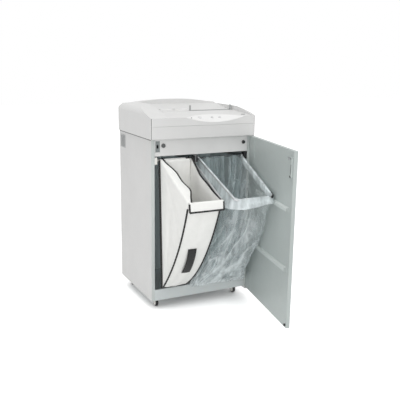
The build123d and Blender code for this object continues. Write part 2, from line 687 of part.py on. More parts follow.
# Lens-shaped control fascia lining the scoop
with BuildPart() as control_fascia:
    add(head_form(0))
    add(deck_space(0), mode=Mode.SUBTRACT)
    add(fascia_scoop(FASCIA_THICKNESS), mode=Mode.INTERSECT)
    add(fascia_scoop(0), mode=Mode.SUBTRACT)
    for button_x, button_radius in BUTTONS.values():
        with BuildSketch(brow_plane(button_x, BUTTON_ALONG)):
            Circle(button_radius + FREE_GAP)
        extrude(amount=4 * HEAD_WALL, both=True, mode=Mode.SUBTRACT)
    with BuildSketch(brow_plane(LIGHT_X, LIGHT_ALONG)):
        Circle(LIGHT_RADIUS)
    extrude(amount=4 * HEAD_WALL, mode=Mode.SUBTRACT)
pieces["control_fascia"] = control_fascia


def push_button(button_x, button_radius):
    """Domed cap on a stem that slides through the fascia and the head cover."""
    with BuildPart() as button:
        depth = BUTTON_STEM + BUTTON_TRAVEL
        with BuildSketch(brow_plane(button_x, BUTTON_ALONG).offset(-depth)):
            Circle(button_radius)
        extrude(amount=depth + FASCIA_THICKNESS + BUTTON_PROUD)
        chamfer(button.edges().group_by(Axis.Z)[-1], BUTTON_BEVEL)
    return button


for button_name, (button_x, button_radius) in BUTTONS.items():
    pieces[button_name] = push_button(button_x, button_radius)

with BuildPart() as indicator_lenses:
    light_lift = LIGHT_RADIUS * math.tan(math.asin((FASCIA_MIDDLE - LIGHT_X) / SCOOP_RADIUS))
    with BuildSketch(brow_plane(LIGHT_X, LIGHT_ALONG).offset(light_lift)):
        Circle(LIGHT_RADIUS)
    extrude(amount=FASCIA_THICKNESS + BUTTON_PROUD / 2)
    land_slope = (LAND_Z - BROW_Z) / (NIP_Y - THROAT_DEPTH - BROW_Y)
    window_z = BROW_Z + (WINDOW_Y - BROW_Y) * land_slope
    window_normal = (0, -land_slope, 1)
    with BuildSketch(Plane(origin=(WINDOW_X, WINDOW_Y, window_z), x_dir=(1, 0, 0), z_dir=window_normal)):
        SlotOverall(WINDOW_LENGTH, WINDOW_WIDTH)
    extrude(amount=WINDOW_PROUD)
pieces["indicator_lenses"] = indicator_lenses

# Feed slots: a tapered paper throat and a raised bezel for discs
THROAT_BASE = LAND_Z - THROAT_DROP
with BuildPart() as paper_throat:
    throat_top = LAND_Z + THROAT_LIP
    guide_top = LAND_Z + GUIDE_RISE
    throat_y = (NIP_Y - THROAT_DEPTH / 2, NIP_Y + THROAT_DEPTH / 2)
    block((PAPER_LEFT, PAPER_RIGHT), throat_y, (THROAT_BASE, throat_top))
    for guide_left in (PAPER_LEFT, PAPER_RIGHT - THROAT_WALL):
        block((guide_left, guide_left + THROAT_WALL), (NIP_Y - GUIDE_DEPTH / 2, NIP_Y + GUIDE_DEPTH / 2),
              (throat_top, guide_top))
    with BuildSketch(Plane.YZ.offset(PAPER_LEFT + THROAT_WALL)):
        with BuildLine():
            Polyline(
                (NIP_Y - THROAT_NECK / 2, THROAT_BASE),
                (NIP_Y + THROAT_NECK / 2, THROAT_BASE),
                (NIP_Y + THROAT_MOUTH / 2, throat_top),
                (NIP_Y - THROAT_MOUTH / 2, throat_top),
                close=True,
            )
        make_face()
    extrude(amount=PAPER_RIGHT - PAPER_LEFT - 2 * THROAT_WALL, mode=Mode.SUBTRACT)
pieces["paper_throat"] = paper_throat

with BuildPart() as disc_bezel:
    bezel_top = LAND_Z + BEZEL_RISE
    bezel_y = (NIP_Y - BEZEL_DEPTH / 2, NIP_Y + BEZEL_DEPTH / 2)
    block((DISC_LEFT, DISC_RIGHT), bezel_y, (THROAT_BASE, bezel_top))
    fillet(disc_bezel.edges().filter_by(Axis.X).group_by(Axis.Z)[-1], BEZEL_WALL / 2)
    block((DISC_LEFT + BEZEL_WALL, DISC_RIGHT - BEZEL_WALL), (NIP_Y - DISC_SLOT / 2, NIP_Y + DISC_SLOT / 2),
          (THROAT_BASE, bezel_top), Mode.SUBTRACT)
    bezel_middle = (DISC_LEFT + DISC_RIGHT) / 2
    bar((bezel_middle, NIP_Y - BEZEL_DEPTH / 2, bezel_top), FINGER_NOTCH, BEZEL_DEPTH, ALONG_Y, Mode.SUBTRACT)
pieces["disc_bezel"] = disc_bezel

# Cutting unit: three side plates with bushes, tie rods and combs
with BuildPart() as cutter_side_plates:
    for plate_left in PLATES:
        plate_right = plate_left + PLATE_THICKNESS
        block((plate_left, plate_right), (PLATE_FRONT, PLATE_BACK), (DECK_TOP, PLATE_TOP))
        block((plate_left, plate_right), (PLATE_FRONT - FOOT_LENGTH, PLATE_BACK + FOOT_LENGTH),
              (DECK_TOP, DECK_TOP + FOOT_HEIGHT))
    for shaft_y in (FRONT_SHAFT, REAR_SHAFT):
        bar((0, shaft_y, SHAFT_Z), BUSH_RADIUS + SEAT_FIT, 2 * CABINET_WIDTH, ALONG_X, Mode.SUBTRACT)
    for tie_y, tie_z in TIE_PLACES:
        bar((0, tie_y, tie_z), TIE_RADIUS + SEAT_FIT, 2 * CABINET_WIDTH, ALONG_X, Mode.SUBTRACT)
pieces["cutter_side_plates"] = cutter_side_plates

with BuildPart() as tie_rods:
    tie_middle = (LEFT_PLATE + RIGHT_PLATE + PLATE_THICKNESS) / 2
    tie_length = RIGHT_PLATE + PLATE_THICKNESS - LEFT_PLATE
    for tie_y, tie_z in TIE_PLACES:
        bar((tie_middle, tie_y, tie_z), TIE_RADIUS, tie_length, ALONG_X)
pieces["tie_rods"] = tie_rods

with BuildPart() as shaft_bushes:
    for plate_left in PLATES:
        plate_middle = plate_left + PLATE_THICKNESS / 2
        for shaft_y in (FRONT_SHAFT, REAR_SHAFT):
            bush = (plate_middle, shaft_y, SHAFT_Z)
            bush_length = PLATE_THICKNESS + 2 * BUSH_OVERHANG
            bar(bush, BUSH_RADIUS, bush_length, ALONG_X)
            bar(bush, JOURNAL_RADIUS + RUN_FIT, 2 * bush_length, ALONG_X, Mode.SUBTRACT)
pieces["shaft_bushes"] = shaft_bushes


def knife_starts(first, pitch, count, shift):
    """Left faces of the round knives in one pack."""
    return [first + pitch * (index + shift) for index in range(count)]


def cutter_shaft(shaft_y, shift, left_end):
    """One-piece cutter: journals, a disc pack and a paper pack of round knives."""
    outline = [(left_end, 0), (left_end, JOURNAL_RADIUS)]
    packs = ((DISC_PACK, DISC_PITCH, DISC_KNIVES), (PAPER_PACK, PAPER_PITCH, PAPER_KNIVES))
    for first, pitch, count in packs:
        core_start = first - PAPER_PITCH / 2
        core_end = first + pitch * count + KNIFE_GAP
        outline += [(core_start, JOURNAL_RADIUS), (core_start, CORE_RADIUS)]
        for start in knife_starts(first, pitch, count, shift):
            stop = start + pitch / 2 - KNIFE_GAP
            outline += [(start, CORE_RADIUS), (start, KNIFE_RADIUS)]
            outline += [(stop, KNIFE_RADIUS), (stop, CORE_RADIUS)]
        outline += [(core_end, CORE_RADIUS), (core_end, JOURNAL_RADIUS)]
    right_end = RIGHT_PLATE + PLATE_THICKNESS
    outline += [(right_end, JOURNAL_RADIUS), (right_end, 0)]
    tidy = [outline[0]] + [point for last, point in zip(outline, outline[1:]) if point != last]
    with BuildPart() as cutter:
        with BuildSketch(Plane(origin=(0, shaft_y, SHAFT_Z), x_dir=(1, 0, 0), z_dir=(0, -1, 0))):
            with BuildLine():
                Polyline(*tidy, close=True)
            make_face()
        revolve(axis=Axis((0, shaft_y, SHAFT_Z), (1, 0, 0)))
    return cutter


pieces["front_cutter_shaft"] = cutter_shaft(FRONT_SHAFT, 0, SYNC_LEFT)
pieces["rear_cutter_shaft"] = cutter_shaft(REAR_SHAFT, 1 / 2, DRIVE_LEFT)

with BuildPart() as stripper_combs:
    comb_gap = KNIFE_RADIUS + FREE_GAP
    finger_reach = CORE_RADIUS + FREE_GAP
    comb_z = (SHAFT_Z - COMB_HEIGHT / 2, SHAFT_Z + COMB_HEIGHT / 2)
    combs = (
        (LEFT_PLATE, MIDDLE_PLATE, DISC_PACK, DISC_PITCH, DISC_KNIVES),
        (MIDDLE_PLATE, RIGHT_PLATE, PAPER_PACK, PAPER_PITCH, PAPER_KNIVES),
    )
    for shaft_y, shift, side in ((FRONT_SHAFT, 0, -1), (REAR_SHAFT, 1 / 2, 1)):
        bar_span = sorted((shaft_y + side * comb_gap, shaft_y + side * (comb_gap + COMB_BAR)))
        finger_span = sorted((shaft_y + side * finger_reach, shaft_y + side * (comb_gap + COMB_BAR)))
        for left_plate, right_plate, first, pitch, count in combs:
            block((left_plate + PLATE_THICKNESS, right_plate), bar_span, comb_z)
            for start in knife_starts(first, pitch, count - 1, shift):
                finger = (start + pitch / 2 + KNIFE_GAP, start + pitch - 2 * KNIFE_GAP)
                block(finger, finger_span, comb_z)
pieces["stripper_combs"] = stripper_combs

with BuildPart() as plate_bolts:
    for plate_left in PLATES:
        for bolt_y in (PLATE_FRONT - FOOT_LENGTH / 2, PLATE_BACK + FOOT_LENGTH / 2):
            bolt_x = plate_left + PLATE_THICKNESS / 2
            with BuildSketch(Plane.XY.offset(DECK_TOP + FOOT_HEIGHT)):
                with Locations((bolt_x, bolt_y)):
                    RegularPolygon(BOLT_RADIUS, 6)
            extrude(amount=BOLT_HEAD)
pieces["plate_bolts"] = plate_bolts

# Gears with involute flanks
def gear_outline(teeth, module, phase):
    """Corner points of a spur gear whose first tooth points along the phase angle."""
    pitch_radius = teeth * module / 2
    base_radius = pitch_radius * math.cos(PRESSURE_ANGLE)
    tip_radius = pitch_radius + module * TOOTH_TIP
    root_radius = pitch_radius - module * TOOTH_ROOT
    flank_foot = max(base_radius, root_radius)

    def involute(radius):
        roll = math.acos(min(1.0, base_radius / radius))
        return math.tan(roll) - roll

    low_flank = (flank_foot + pitch_radius) / 2
    high_flank = (pitch_radius + tip_radius) / 2
    flank = [flank_foot, low_flank, pitch_radius, high_flank, tip_radius]
    half_tooth = math.pi / (2 * teeth) - BACKLASH / (2 * pitch_radius)
    half_angles = [half_tooth + involute(pitch_radius) - involute(radius) for radius in flank]
    rising = list(zip(flank, half_angles))
    if root_radius < flank_foot:
        rising.insert(0, (root_radius, half_angles[0]))
    corners = []
    for tooth in range(teeth):
        center = phase + 2 * math.pi * tooth / teeth
        corners += [(radius, center - angle) for radius, angle in rising]
        corners += [(radius, center + angle) for radius, angle in reversed(rising)]
    return [(radius * math.cos(angle), radius * math.sin(angle)) for radius, angle in corners]


def gear(center, teeth, module, width, bore, phase):
    """Spur gear about an X axis, its left face at the given centre."""
    with BuildPart() as wheel:
        with BuildSketch(Plane(origin=center, x_dir=(0, 1, 0), z_dir=(1, 0, 0))):
            with BuildLine():
                Polyline(*gear_outline(teeth, module, phase), close=True)
            make_face()
            Circle(bore + SEAT_FIT, mode=Mode.SUBTRACT)
        extrude(amount=width)
    return wheel


HALF_SYNC = math.pi / SYNC_TEETH
HALF_PINION = math.pi / PINION_TEETH
pieces["front_sync_gear"] = gear(
    (SYNC_LEFT, FRONT_SHAFT, SHAFT_Z), SYNC_TEETH, SYNC_MODULE, SYNC_WIDTH, JOURNAL_RADIUS, 0)
pieces["rear_sync_gear"] = gear(
    (SYNC_LEFT, REAR_SHAFT, SHAFT_Z), SYNC_TEETH, SYNC_MODULE, SYNC_WIDTH, JOURNAL_RADIUS, HALF_SYNC)
pieces["drive_gear"] = gear(
    (DRIVE_LEFT, REAR_SHAFT, SHAFT_Z), DRIVE_TEETH, DRIVE_MODULE, DRIVE_WIDTH, JOURNAL_RADIUS, 0)

with BuildPart() as motor_pinion:
    with BuildSketch(Plane(origin=(DRIVE_LEFT, MOTOR_Y, SHAFT_Z), x_dir=(0, 1, 0), z_dir=(1, 0, 0))):
        with BuildLine():
            Polyline(*gear_outline(PINION_TEETH, DRIVE_MODULE, HALF_PINION), close=True)
        make_face()
    extrude(amount=DRIVE_WIDTH)
    shaft_stop = MOTOR_LEFT + MOTOR_PLATE - FREE_GAP
    shaft_middle = ((DRIVE_LEFT + shaft_stop) / 2, MOTOR_Y, SHAFT_Z)
    bar(shaft_middle, MOTOR_SHAFT_RADIUS, shaft_stop - DRIVE_LEFT, ALONG_X)
pieces["motor_pinion"] = motor_pinion

# Motor on its plate, and the control board
with BuildPart() as motor_body:
    motor_middle = MOTOR_LEFT + MOTOR_LENGTH / 2
    bar((motor_middle, MOTOR_Y, SHAFT_Z), MOTOR_RADIUS, MOTOR_LENGTH, ALONG_X)
    chamfer(motor_body.edges().filter_by(GeomType.CIRCLE).group_by(Axis.X)[-1], MOTOR_PLATE)
    socket_length = 2 * MOTOR_PLATE
    bar((MOTOR_LEFT, MOTOR_Y, SHAFT_Z), MOTOR_SHAFT_RADIUS + RUN_FIT, socket_length, ALONG_X, Mode.SUBTRACT)
pieces["motor_body"] = motor_body

with BuildPart() as motor_mount:
    block((MOTOR_PLATE_LEFT, MOTOR_LEFT), (MOTOR_Y - MOTOR_PLATE_WIDTH / 2, MOTOR_Y + MOTOR_PLATE_WIDTH / 2),
          (DECK_TOP, SHAFT_Z + MOTOR_PLATE_WIDTH / 2))
    bar((MOTOR_PLATE_LEFT, MOTOR_Y, SHAFT_Z), 2 * MOTOR_SHAFT_RADIUS, 4 * MOTOR_PLATE, ALONG_X, Mode.SUBTRACT)
pieces["motor_mount"] = motor_mount

with BuildPart() as control_board:
    board_base = DECK_TOP + BOARD_RISE
    with Locations((BOARD_X, BOARD_Y, board_base + BOARD_THICKNESS / 2)):
        Box(BOARD_WIDTH, BOARD_DEPTH, BOARD_THICKNESS)
    with Locations((BOARD_X, BOARD_Y, DECK_TOP + BOARD_RISE / 2)):
        with GridLocations(BOARD_WIDTH - 4 * POST_RADIUS, BOARD_DEPTH - 4 * POST_RADIUS, 2, 2):
            Cylinder(POST_RADIUS, BOARD_RISE)
pieces["control_board"] = control_board

# Rails for the two bag carriages
with BuildPart() as bag_rails:
    rail_y = (FRONT_INSIDE, BACK_INSIDE)
    top_flange = (RAIL_TOP, RAIL_TOP + SHEET)
    base_flange = (RAIL_BASE - SHEET, RAIL_BASE)
    for hand in (-1, 1):
        wall = sorted((hand * INSIDE, hand * (INSIDE - SHEET)))
        ledge = sorted((hand * INSIDE, hand * (INSIDE - WALL_RAIL_DEPTH)))
        block(wall, rail_y, (base_flange[0], top_flange[1]))
        block(ledge, rail_y, base_flange)
        block(ledge, rail_y, top_flange)
    centre_web = (CENTRE_LEFT, CENTRE_RIGHT)
    centre_ledge = (CENTRE_X - CENTRE_FLANGE, CENTRE_X + CENTRE_FLANGE)
    block(centre_web, (PANEL_FRONT + PANEL_RETURN, BACK_INSIDE), (RAIL_TOP, DECK_BASE))
    block(centre_web, rail_y, (RAIL_BASE, RAIL_TOP))
    block(centre_ledge, rail_y, base_flange)
    block(centre_ledge, rail_y, top_flange)
pieces["bag_rails"] = bag_rails

CENTRE_SHOE = CENTRE_FLANGE - CENTRE_WEB / 2 - FREE_GAP


def carriage(wall_side):
    """Two sliding shoes and the pivot rod that joins them."""
    wall_shoe = sorted((wall_side * WALL_SHOE, wall_side * WALL_SHOE_INNER))
    inner_face = CENTRE_X + wall_side * (CENTRE_WEB / 2 + FREE_GAP)
    centre_shoe = sorted((inner_face, inner_face + wall_side * CENTRE_SHOE))
    shoe_y = (PIVOT_Y - SHOE_LENGTH / 2, PIVOT_Y + SHOE_LENGTH / 2)
    shoe_z = (RAIL_Z - SHOE_HEIGHT / 2, RAIL_Z + SHOE_HEIGHT / 2)
    ends = sorted((wall_side * WALL_SHOE_INNER, inner_face + wall_side * CENTRE_SHOE))
    with BuildPart() as slider:
        block(wall_shoe, shoe_y, shoe_z)
        block(centre_shoe, shoe_y, shoe_z)
        bar((sum(ends) / 2, PIVOT_Y, RAIL_Z), ROD_RADIUS, ends[1] - ends[0], ALONG_X)
    return slider


pieces["left_carriage"] = carriage(-1)
pieces["right_carriage"] = carriage(1)


def bag_frame(left_arm, right_arm, right_front, length, tilt):
    """Bent rod with two arms and a front bar, turning on the carriage by an eye at each arm."""
    angle = math.radians(tilt)
    lean = Plane(origin=(0, PIVOT_Y, RAIL_Z), x_dir=(1, 0, 0), z_dir=(0, -math.sin(angle), math.cos(angle)))
    root = ROD_RADIUS / 2 - EYE_RADIUS
    with BuildPart() as frame:
        with BuildLine(lean):
            corners = [(left_arm, root), (left_arm, -length), (right_front, -length), (right_arm, root)]
            FilletPolyline(*corners, radius=BEND_RADIUS)
        start = lean.from_local_coords((left_arm, root, 0))
        with BuildSketch(Plane(origin=start, x_dir=(1, 0, 0), z_dir=-lean.y_dir)):
            Circle(ROD_RADIUS)
        sweep()
        for arm in (left_arm, right_arm):
            bar((arm, PIVOT_Y, RAIL_Z), EYE_RADIUS, EYE_WIDTH, ALONG_X)
        for arm in (left_arm, right_arm):
            bar((arm, PIVOT_Y, RAIL_Z), ROD_RADIUS + RUN_FIT, 2 * EYE_WIDTH, ALONG_X, Mode.SUBTRACT)
    return frame


LEFT_FRAME = (LEFT_FRAME_LENGTH, LEFT_FRAME_TILT)
RIGHT_FRAME = (RIGHT_FRAME_LENGTH, RIGHT_FRAME_TILT)
pieces["left_bag_frame"] = bag_frame(LEFT_ARM, MIDDLE_ARM_LEFT, MIDDLE_ARM_LEFT, *LEFT_FRAME)
pieces["right_bag_frame"] = bag_frame(MIDDLE_ARM_RIGHT, RIGHT_ARM, RIGHT_ARM_FRONT, *RIGHT_FRAME)


# Bags: wedge-shaped open shells hanging under the frames
def bag_form(widths, frame_size, belly, toe, heel, inset):
    """Wedge hanging under a frame, drawn in by the inset but reaching up to the same rim."""
    left, right, right_front = widths
    length, tilt = frame_size
    angle = math.radians(tilt)
    drop = (ROD_RADIUS + SOFT_GAP) / math.cos(angle)
    rear = PIVOT_Y - BAG_TOP_INSET - inset
    lead = PIVOT_Y - length * math.cos(angle) + inset
    rear_rim = (rear, RAIL_Z - (PIVOT_Y - rear) * math.tan(angle) - drop)
    lead_rim = (lead, RAIL_Z - (PIVOT_Y - lead) * math.tan(angle) - drop)
    low_toe = (toe[0] + inset, toe[1] + inset)
    low_heel = (heel[0] - inset, heel[1] + inset)
    with BuildPart() as form:
        with BuildSketch(Plane.YZ.offset(left + inset)):
            with BuildLine():
                ThreePointArc(lead_rim, (belly[0] + inset, belly[1]), low_toe)
                Polyline(low_toe, low_heel, rear_rim, lead_rim)
            make_face()
        extrude(amount=right - left)
        with BuildSketch(Plane.XY):
            with BuildLine():
                Polyline(
                    (left, PIVOT_Y),
                    (right - inset, PIVOT_Y),
                    (right_front - inset, PIVOT_Y - length),
                    (left, PIVOT_Y - length),
                    close=True,
                )
            make_face()
        extrude(amount=CABINET_TOP, mode=Mode.INTERSECT)
    return form.part


def bag(widths, frame_size, belly, toe, heel, wall):
    """Thin bag, open along its rim."""
    with BuildPart() as sack:
        add(bag_form(widths, frame_size, belly, toe, heel, 0))
        add(bag_form(widths, frame_size, belly, toe, heel, wall), mode=Mode.SUBTRACT)
    return sack


def low_corner(reach):
    """Place beside the bag's side seam, from its reach ahead of the pivot and above the base."""
    return (PIVOT_Y - reach[0], CABINET_BASE + reach[1])


HANG_INSET = ROD_RADIUS / 2
FABRIC_WIDTHS = (LEFT_ARM + HANG_INSET, MIDDLE_ARM_LEFT - HANG_INSET, MIDDLE_ARM_LEFT - HANG_INSET)
FILM_WIDTHS = (MIDDLE_ARM_RIGHT + HANG_INSET, RIGHT_ARM - HANG_INSET, RIGHT_ARM_FRONT - HANG_INSET)
FABRIC_TOE = low_corner(FABRIC_TOE_REACH)
FABRIC_CORNERS = (low_corner(FABRIC_BELLY_REACH), FABRIC_TOE, low_corner(FABRIC_HEEL_REACH))
FILM_CORNERS = [low_corner(reach) for reach in (FILM_BELLY_REACH, FILM_TOE_REACH, FILM_HEEL_REACH)]
FABRIC_FORM = (FABRIC_WIDTHS, LEFT_FRAME, *FABRIC_CORNERS)
FILM_FORM = (FILM_WIDTHS, RIGHT_FRAME, *FILM_CORNERS)
pieces["fabric_bag"] = bag(*FABRIC_FORM, CLOTH)
pieces["film_bag"] = bag(*FILM_FORM, FILM)

with BuildPart() as bag_strap:
    add(bag_form(*FABRIC_FORM, -STRAP_STANDOFF - STRAP_THICKNESS))
    add(bag_form(*FABRIC_FORM, -STRAP_STANDOFF), mode=Mode.SUBTRACT)
    strap_middle = (LEFT_ARM + MIDDLE_ARM_LEFT) / 2 + STRAP_OFFSET
    strap_x = (strap_middle - STRAP_WIDTH / 2, strap_middle + STRAP_WIDTH / 2)
    strap_y = (PIVOT_Y - LEFT_FRAME_LENGTH - STRAP_WIDTH, FABRIC_TOE[0])
    strap_z = [CABINET_BASE + height for height in STRAP_HEIGHTS]
    block(strap_x, strap_y, strap_z, Mode.INTERSECT)
pieces["bag_strap"] = bag_strap

# Door: outer pan, inner liner, ribs, lock and hinge plates
OPEN_ANGLE = math.radians(DOOR_OPEN)
DOOR_WAY = (-math.cos(OPEN_ANGLE), -math.sin(OPEN_ANGLE), 0)
DOOR_PLANE = Plane(origin=(HINGE_X, HINGE_Y, 0), x_dir=DOOR_WAY, z_dir=(0, 0, 1))


def door_block(u_range, v_range, z_range, mode=Mode.ADD):
    """Box in door coordinates: u from the hinge axis to the free edge, v outwards."""
    spans = (u_range, v_range, z_range)
    with Locations(DOOR_PLANE.location * Location(tuple(sum(span) / 2 for span in spans))):
        Box(*(span[1] - span[0] for span in spans), mode=mode)


def door_face(u, v, z):
    """Plane on the door looking inwards, at a place on its inner side."""
    origin = DOOR_PLANE.from_local_coords((u, v, z))
    return Plane(origin=origin, x_dir=DOOR_WAY, z_dir=-DOOR_PLANE.y_dir)


with BuildPart() as door_panel:
    u_span = (-HINGE_EDGE, DOOR_FREE)
    door_block(u_span, (DOOR_INNER, DOOR_OUTER), (DOOR_BASE, DOOR_TOP))
    v_span = (DOOR_INNER, DOOR_OUTER)
    z_span = (DOOR_BASE, DOOR_TOP)
    hollow = [(span[0] + SHEET, span[1] - SHEET) for span in (u_span, v_span, z_span)]
    door_block(*hollow, Mode.SUBTRACT)
    u_mouth = (u_span[0] + DOOR_LIP, u_span[1] - DOOR_LIP)
    z_mouth = (DOOR_BASE + DOOR_LIP, DOOR_TOP - DOOR_LIP)
    door_block(u_mouth, (DOOR_INNER, DOOR_OUTER - SHEET), z_mouth, Mode.SUBTRACT)
    hinge_middle = (HINGE_X, HINGE_Y, (DOOR_BASE + DOOR_TOP) / 2)
    bar(hinge_middle, PIN_RADIUS + RUN_FIT, 2 * DOOR_TOP, mode=Mode.SUBTRACT)
pieces["door_panel"] = door_panel

with BuildPart() as door_liner:
    door_block((-HINGE_EDGE + DOOR_LIP, DOOR_FREE - DOOR_LIP), (DOOR_INNER, DOOR_INNER + SHEET),
               (DOOR_BASE + DOOR_LIP, DOOR_TOP - DOOR_LIP))
pieces["door_liner"] = door_liner

with BuildPart() as door_stiffeners:
    for rib_rise in RIB_RISES:
        rib_length = DOOR_FREE - RIB_END_GAP - RIB_START
        with BuildSketch(door_face(RIB_START + rib_length / 2, DOOR_INNER, DOOR_BASE + rib_rise)):
            Rectangle(rib_length, RIB_WIDTH)
        extrude(amount=RIB_RISE, taper=RIB_TAPER)
pieces["door_stiffeners"] = door_stiffeners

with BuildPart() as hinge_plates:
    for plate_base in (DOOR_TOP - DOOR_LIP - HINGE_PLATE_HEIGHT, DOOR_BASE + DOOR_LIP):
        door_block((DOOR_LIP, DOOR_LIP + HINGE_PLATE_WIDTH), (DOOR_INNER - HINGE_PLATE_THICKNESS, DOOR_INNER),
                   (plate_base, plate_base + HINGE_PLATE_HEIGHT))
pieces["hinge_plates"] = hinge_plates

with BuildPart() as hinge_brackets:
    tongue_front = HINGE_Y - BRACKET_WIDTH / 2
    seat_back = FRONT + BRACKET_SEAT
    tongue_x = (SIDE - FLANGE_WIDTH, HINGE_X + BRACKET_WIDTH / 4)
    low_top = DOOR_BASE - FREE_GAP
    block(tongue_x, (tongue_front, FRONT), (DOOR_TOP + FREE_GAP, HEAD_BASE))
    block(tongue_x, (tongue_front, seat_back), (low_top - BRACKET_THICKNESS, low_top))
    block((tongue_x[0], SIDE), (FRONT, seat_back), (low_top, CABINET_BASE))
    hinge_middle = (HINGE_X, HINGE_Y, (DOOR_BASE + DOOR_TOP) / 2)
    bar(hinge_middle, PIN_RADIUS + SEAT_FIT, 2 * DOOR_TOP, mode=Mode.SUBTRACT)
pieces["hinge_brackets"] = hinge_brackets

with BuildPart() as hinge_pins:
    bar((HINGE_X, HINGE_Y, HEAD_BASE - PIN_LENGTH / 2), PIN_RADIUS, PIN_LENGTH)
    pin_base = DOOR_BASE - FREE_GAP - BRACKET_THICKNESS
    bar((HINGE_X, HINGE_Y, pin_base + PIN_LENGTH / 2), PIN_RADIUS, PIN_LENGTH)
pieces["hinge_pins"] = hinge_pins

# A quarter turn of the latch bar locks it behind the strike's slot
LOCK_U = DOOR_FREE - LOCK_EDGE - LOCK_WIDTH / 2
LOCK_Z = STRIKE_Z - LOCK_DROP
LATCH_U = HINGE_X - STRIKE_X
LOCK_FACE = DOOR_INNER - LOCK_THICKNESS
LATCH_REACH = PANEL_BACK + SHEET + FREE_GAP - (DOOR_CLOSED_FACE + LOCK_THICKNESS)
LATCH_LENGTH = STRIKE_SLOT_HEIGHT - 4 * FREE_GAP
LATCH_WIDTH = STRIKE_SLOT_WIDTH - 2 * FREE_GAP
with BuildPart() as door_lock_body:
    lock_u = (LOCK_U - LOCK_WIDTH / 2, LOCK_U + LOCK_WIDTH / 2)
    door_block(lock_u, (LOCK_FACE, DOOR_INNER), (LOCK_Z - LOCK_HEIGHT / 2, LOCK_Z + LOCK_HEIGHT / 2))
    with BuildSketch(door_face(LATCH_U, LOCK_FACE, STRIKE_Z)):
        Circle(CAM_SPINDLE)
    extrude(amount=LATCH_REACH + CAM_THICKNESS)
pieces["door_lock_body"] = door_lock_body

with BuildPart() as door_latch_cam:
    with BuildSketch(door_face(LATCH_U, LOCK_FACE - LATCH_REACH, STRIKE_Z)):
        Rectangle(LATCH_WIDTH, LATCH_LENGTH)
    extrude(amount=CAM_THICKNESS)
    with BuildSketch(door_face(LATCH_U, LOCK_FACE - FREE_GAP, STRIKE_Z)):
        Circle(CAM_COLLAR)
    extrude(amount=LATCH_REACH - FREE_GAP)
    with BuildSketch(door_face(LATCH_U, LOCK_FACE, STRIKE_Z)):
        Circle(CAM_SPINDLE + RUN_FIT)
    extrude(amount=LATCH_REACH + 2 * CAM_THICKNESS, mode=Mode.SUBTRACT)
pieces["door_latch_cam"] = door_latch_cam

with BuildPart() as door_stop_pad:
    with BuildSketch(door_face(DOOR_FREE - PAD_INSET, DOOR_INNER, DOOR_BASE + PAD_INSET)):
        Circle(PAD_RADIUS)
    extrude(amount=PAD_HEIGHT)
pieces["door_stop_pad"] = door_stop_pad

# Strike, buffer and safety plunger on the cross panel
with BuildPart() as latch_strike:
    strike_half = STRIKE_WIDTH / 2 + STRIKE_MARGIN
    strike_reach = STRIKE_HEIGHT / 2 + STRIKE_MARGIN
    block((STRIKE_X - strike_half, STRIKE_X + strike_half), (PANEL_BACK, PANEL_BACK + SHEET),
          (STRIKE_Z - strike_reach, STRIKE_Z + strike_reach))
    with Locations((STRIKE_X, PANEL_BACK + SHEET / 2, STRIKE_Z)):
        Box(STRIKE_SLOT_WIDTH, 2 * SHEET, STRIKE_SLOT_HEIGHT, mode=Mode.SUBTRACT)
pieces["latch_strike"] = latch_strike

with BuildPart() as door_buffer:
    buffer_proud = PANEL_FRONT - DOOR_CLOSED_FACE
    buffer_middle = (BUFFER_X, PANEL_FRONT - buffer_proud / 2, BUFFER_Z)
    bar(buffer_middle, BUFFER_RADIUS, buffer_proud, ALONG_Y)
    chamfer(door_buffer.edges().group_by(Axis.Y)[0], BUFFER_BEVEL)
pieces["door_buffer"] = door_buffer

with BuildPart() as safety_switch:
    body_half = PLUNGER_BODY / 2
    block((PLUNGER_X - body_half, PLUNGER_X + body_half), (PANEL_BACK, PANEL_BACK + PLUNGER_BODY_DEPTH),
          (PLUNGER_Z - body_half, PLUNGER_Z + body_half))
    bore_depth = SHEET + PLUNGER_TRAVEL + PLUNGER_PROUD
    bar((PLUNGER_X, PANEL_BACK, PLUNGER_Z), PLUNGER_RADIUS + RUN_FIT, 2 * bore_depth, ALONG_Y, Mode.SUBTRACT)
pieces["safety_switch"] = safety_switch

with BuildPart() as safety_plunger:
    plunger_back = PANEL_BACK + PLUNGER_PROUD
    plunger_front = PANEL_FRONT - PLUNGER_PROUD
    plunger_middle = (PLUNGER_X, (plunger_front + plunger_back) / 2, PLUNGER_Z)
    bar(plunger_middle, PLUNGER_RADIUS, plunger_back - plunger_front, ALONG_Y)
    fillet(safety_plunger.edges().group_by(Axis.Y)[0], PLUNGER_ROUND)
pieces["safety_plunger"] = safety_plunger

# Casters: fixed plates, swivelling forks and wheels
CROWN_BASE = 2 * WHEEL_RADIUS + WHEEL_TOP_GAP
CROWN_TOP = CROWN_BASE + CROWN_THICKNESS
HOUSING_BASE = CROWN_TOP + SWIVEL_GAP
PLATE_BASE = CABINET_BASE - CASTER_PLATE_THICKNESS

with BuildPart() as caster_plates:
    for caster_x, caster_y in CASTERS.values():
        with Locations((caster_x, caster_y, CABINET_BASE - CASTER_PLATE_THICKNESS / 2)):
            Box(CASTER_PLATE, CASTER_PLATE, CASTER_PLATE_THICKNESS)
        housing_height = PLATE_BASE - HOUSING_BASE
        bar((caster_x, caster_y, HOUSING_BASE + housing_height / 2), HOUSING_RADIUS, housing_height)
    for caster_x, caster_y in CASTERS.values():
        socket_depth = KINGPIN_LENGTH + KINGPIN_END_GAP
        socket_mouth = (caster_x, caster_y, HOUSING_BASE)
        bar(socket_mouth, KINGPIN_RADIUS + RUN_FIT, 2 * socket_depth, mode=Mode.SUBTRACT)
pieces["caster_plates"] = caster_plates

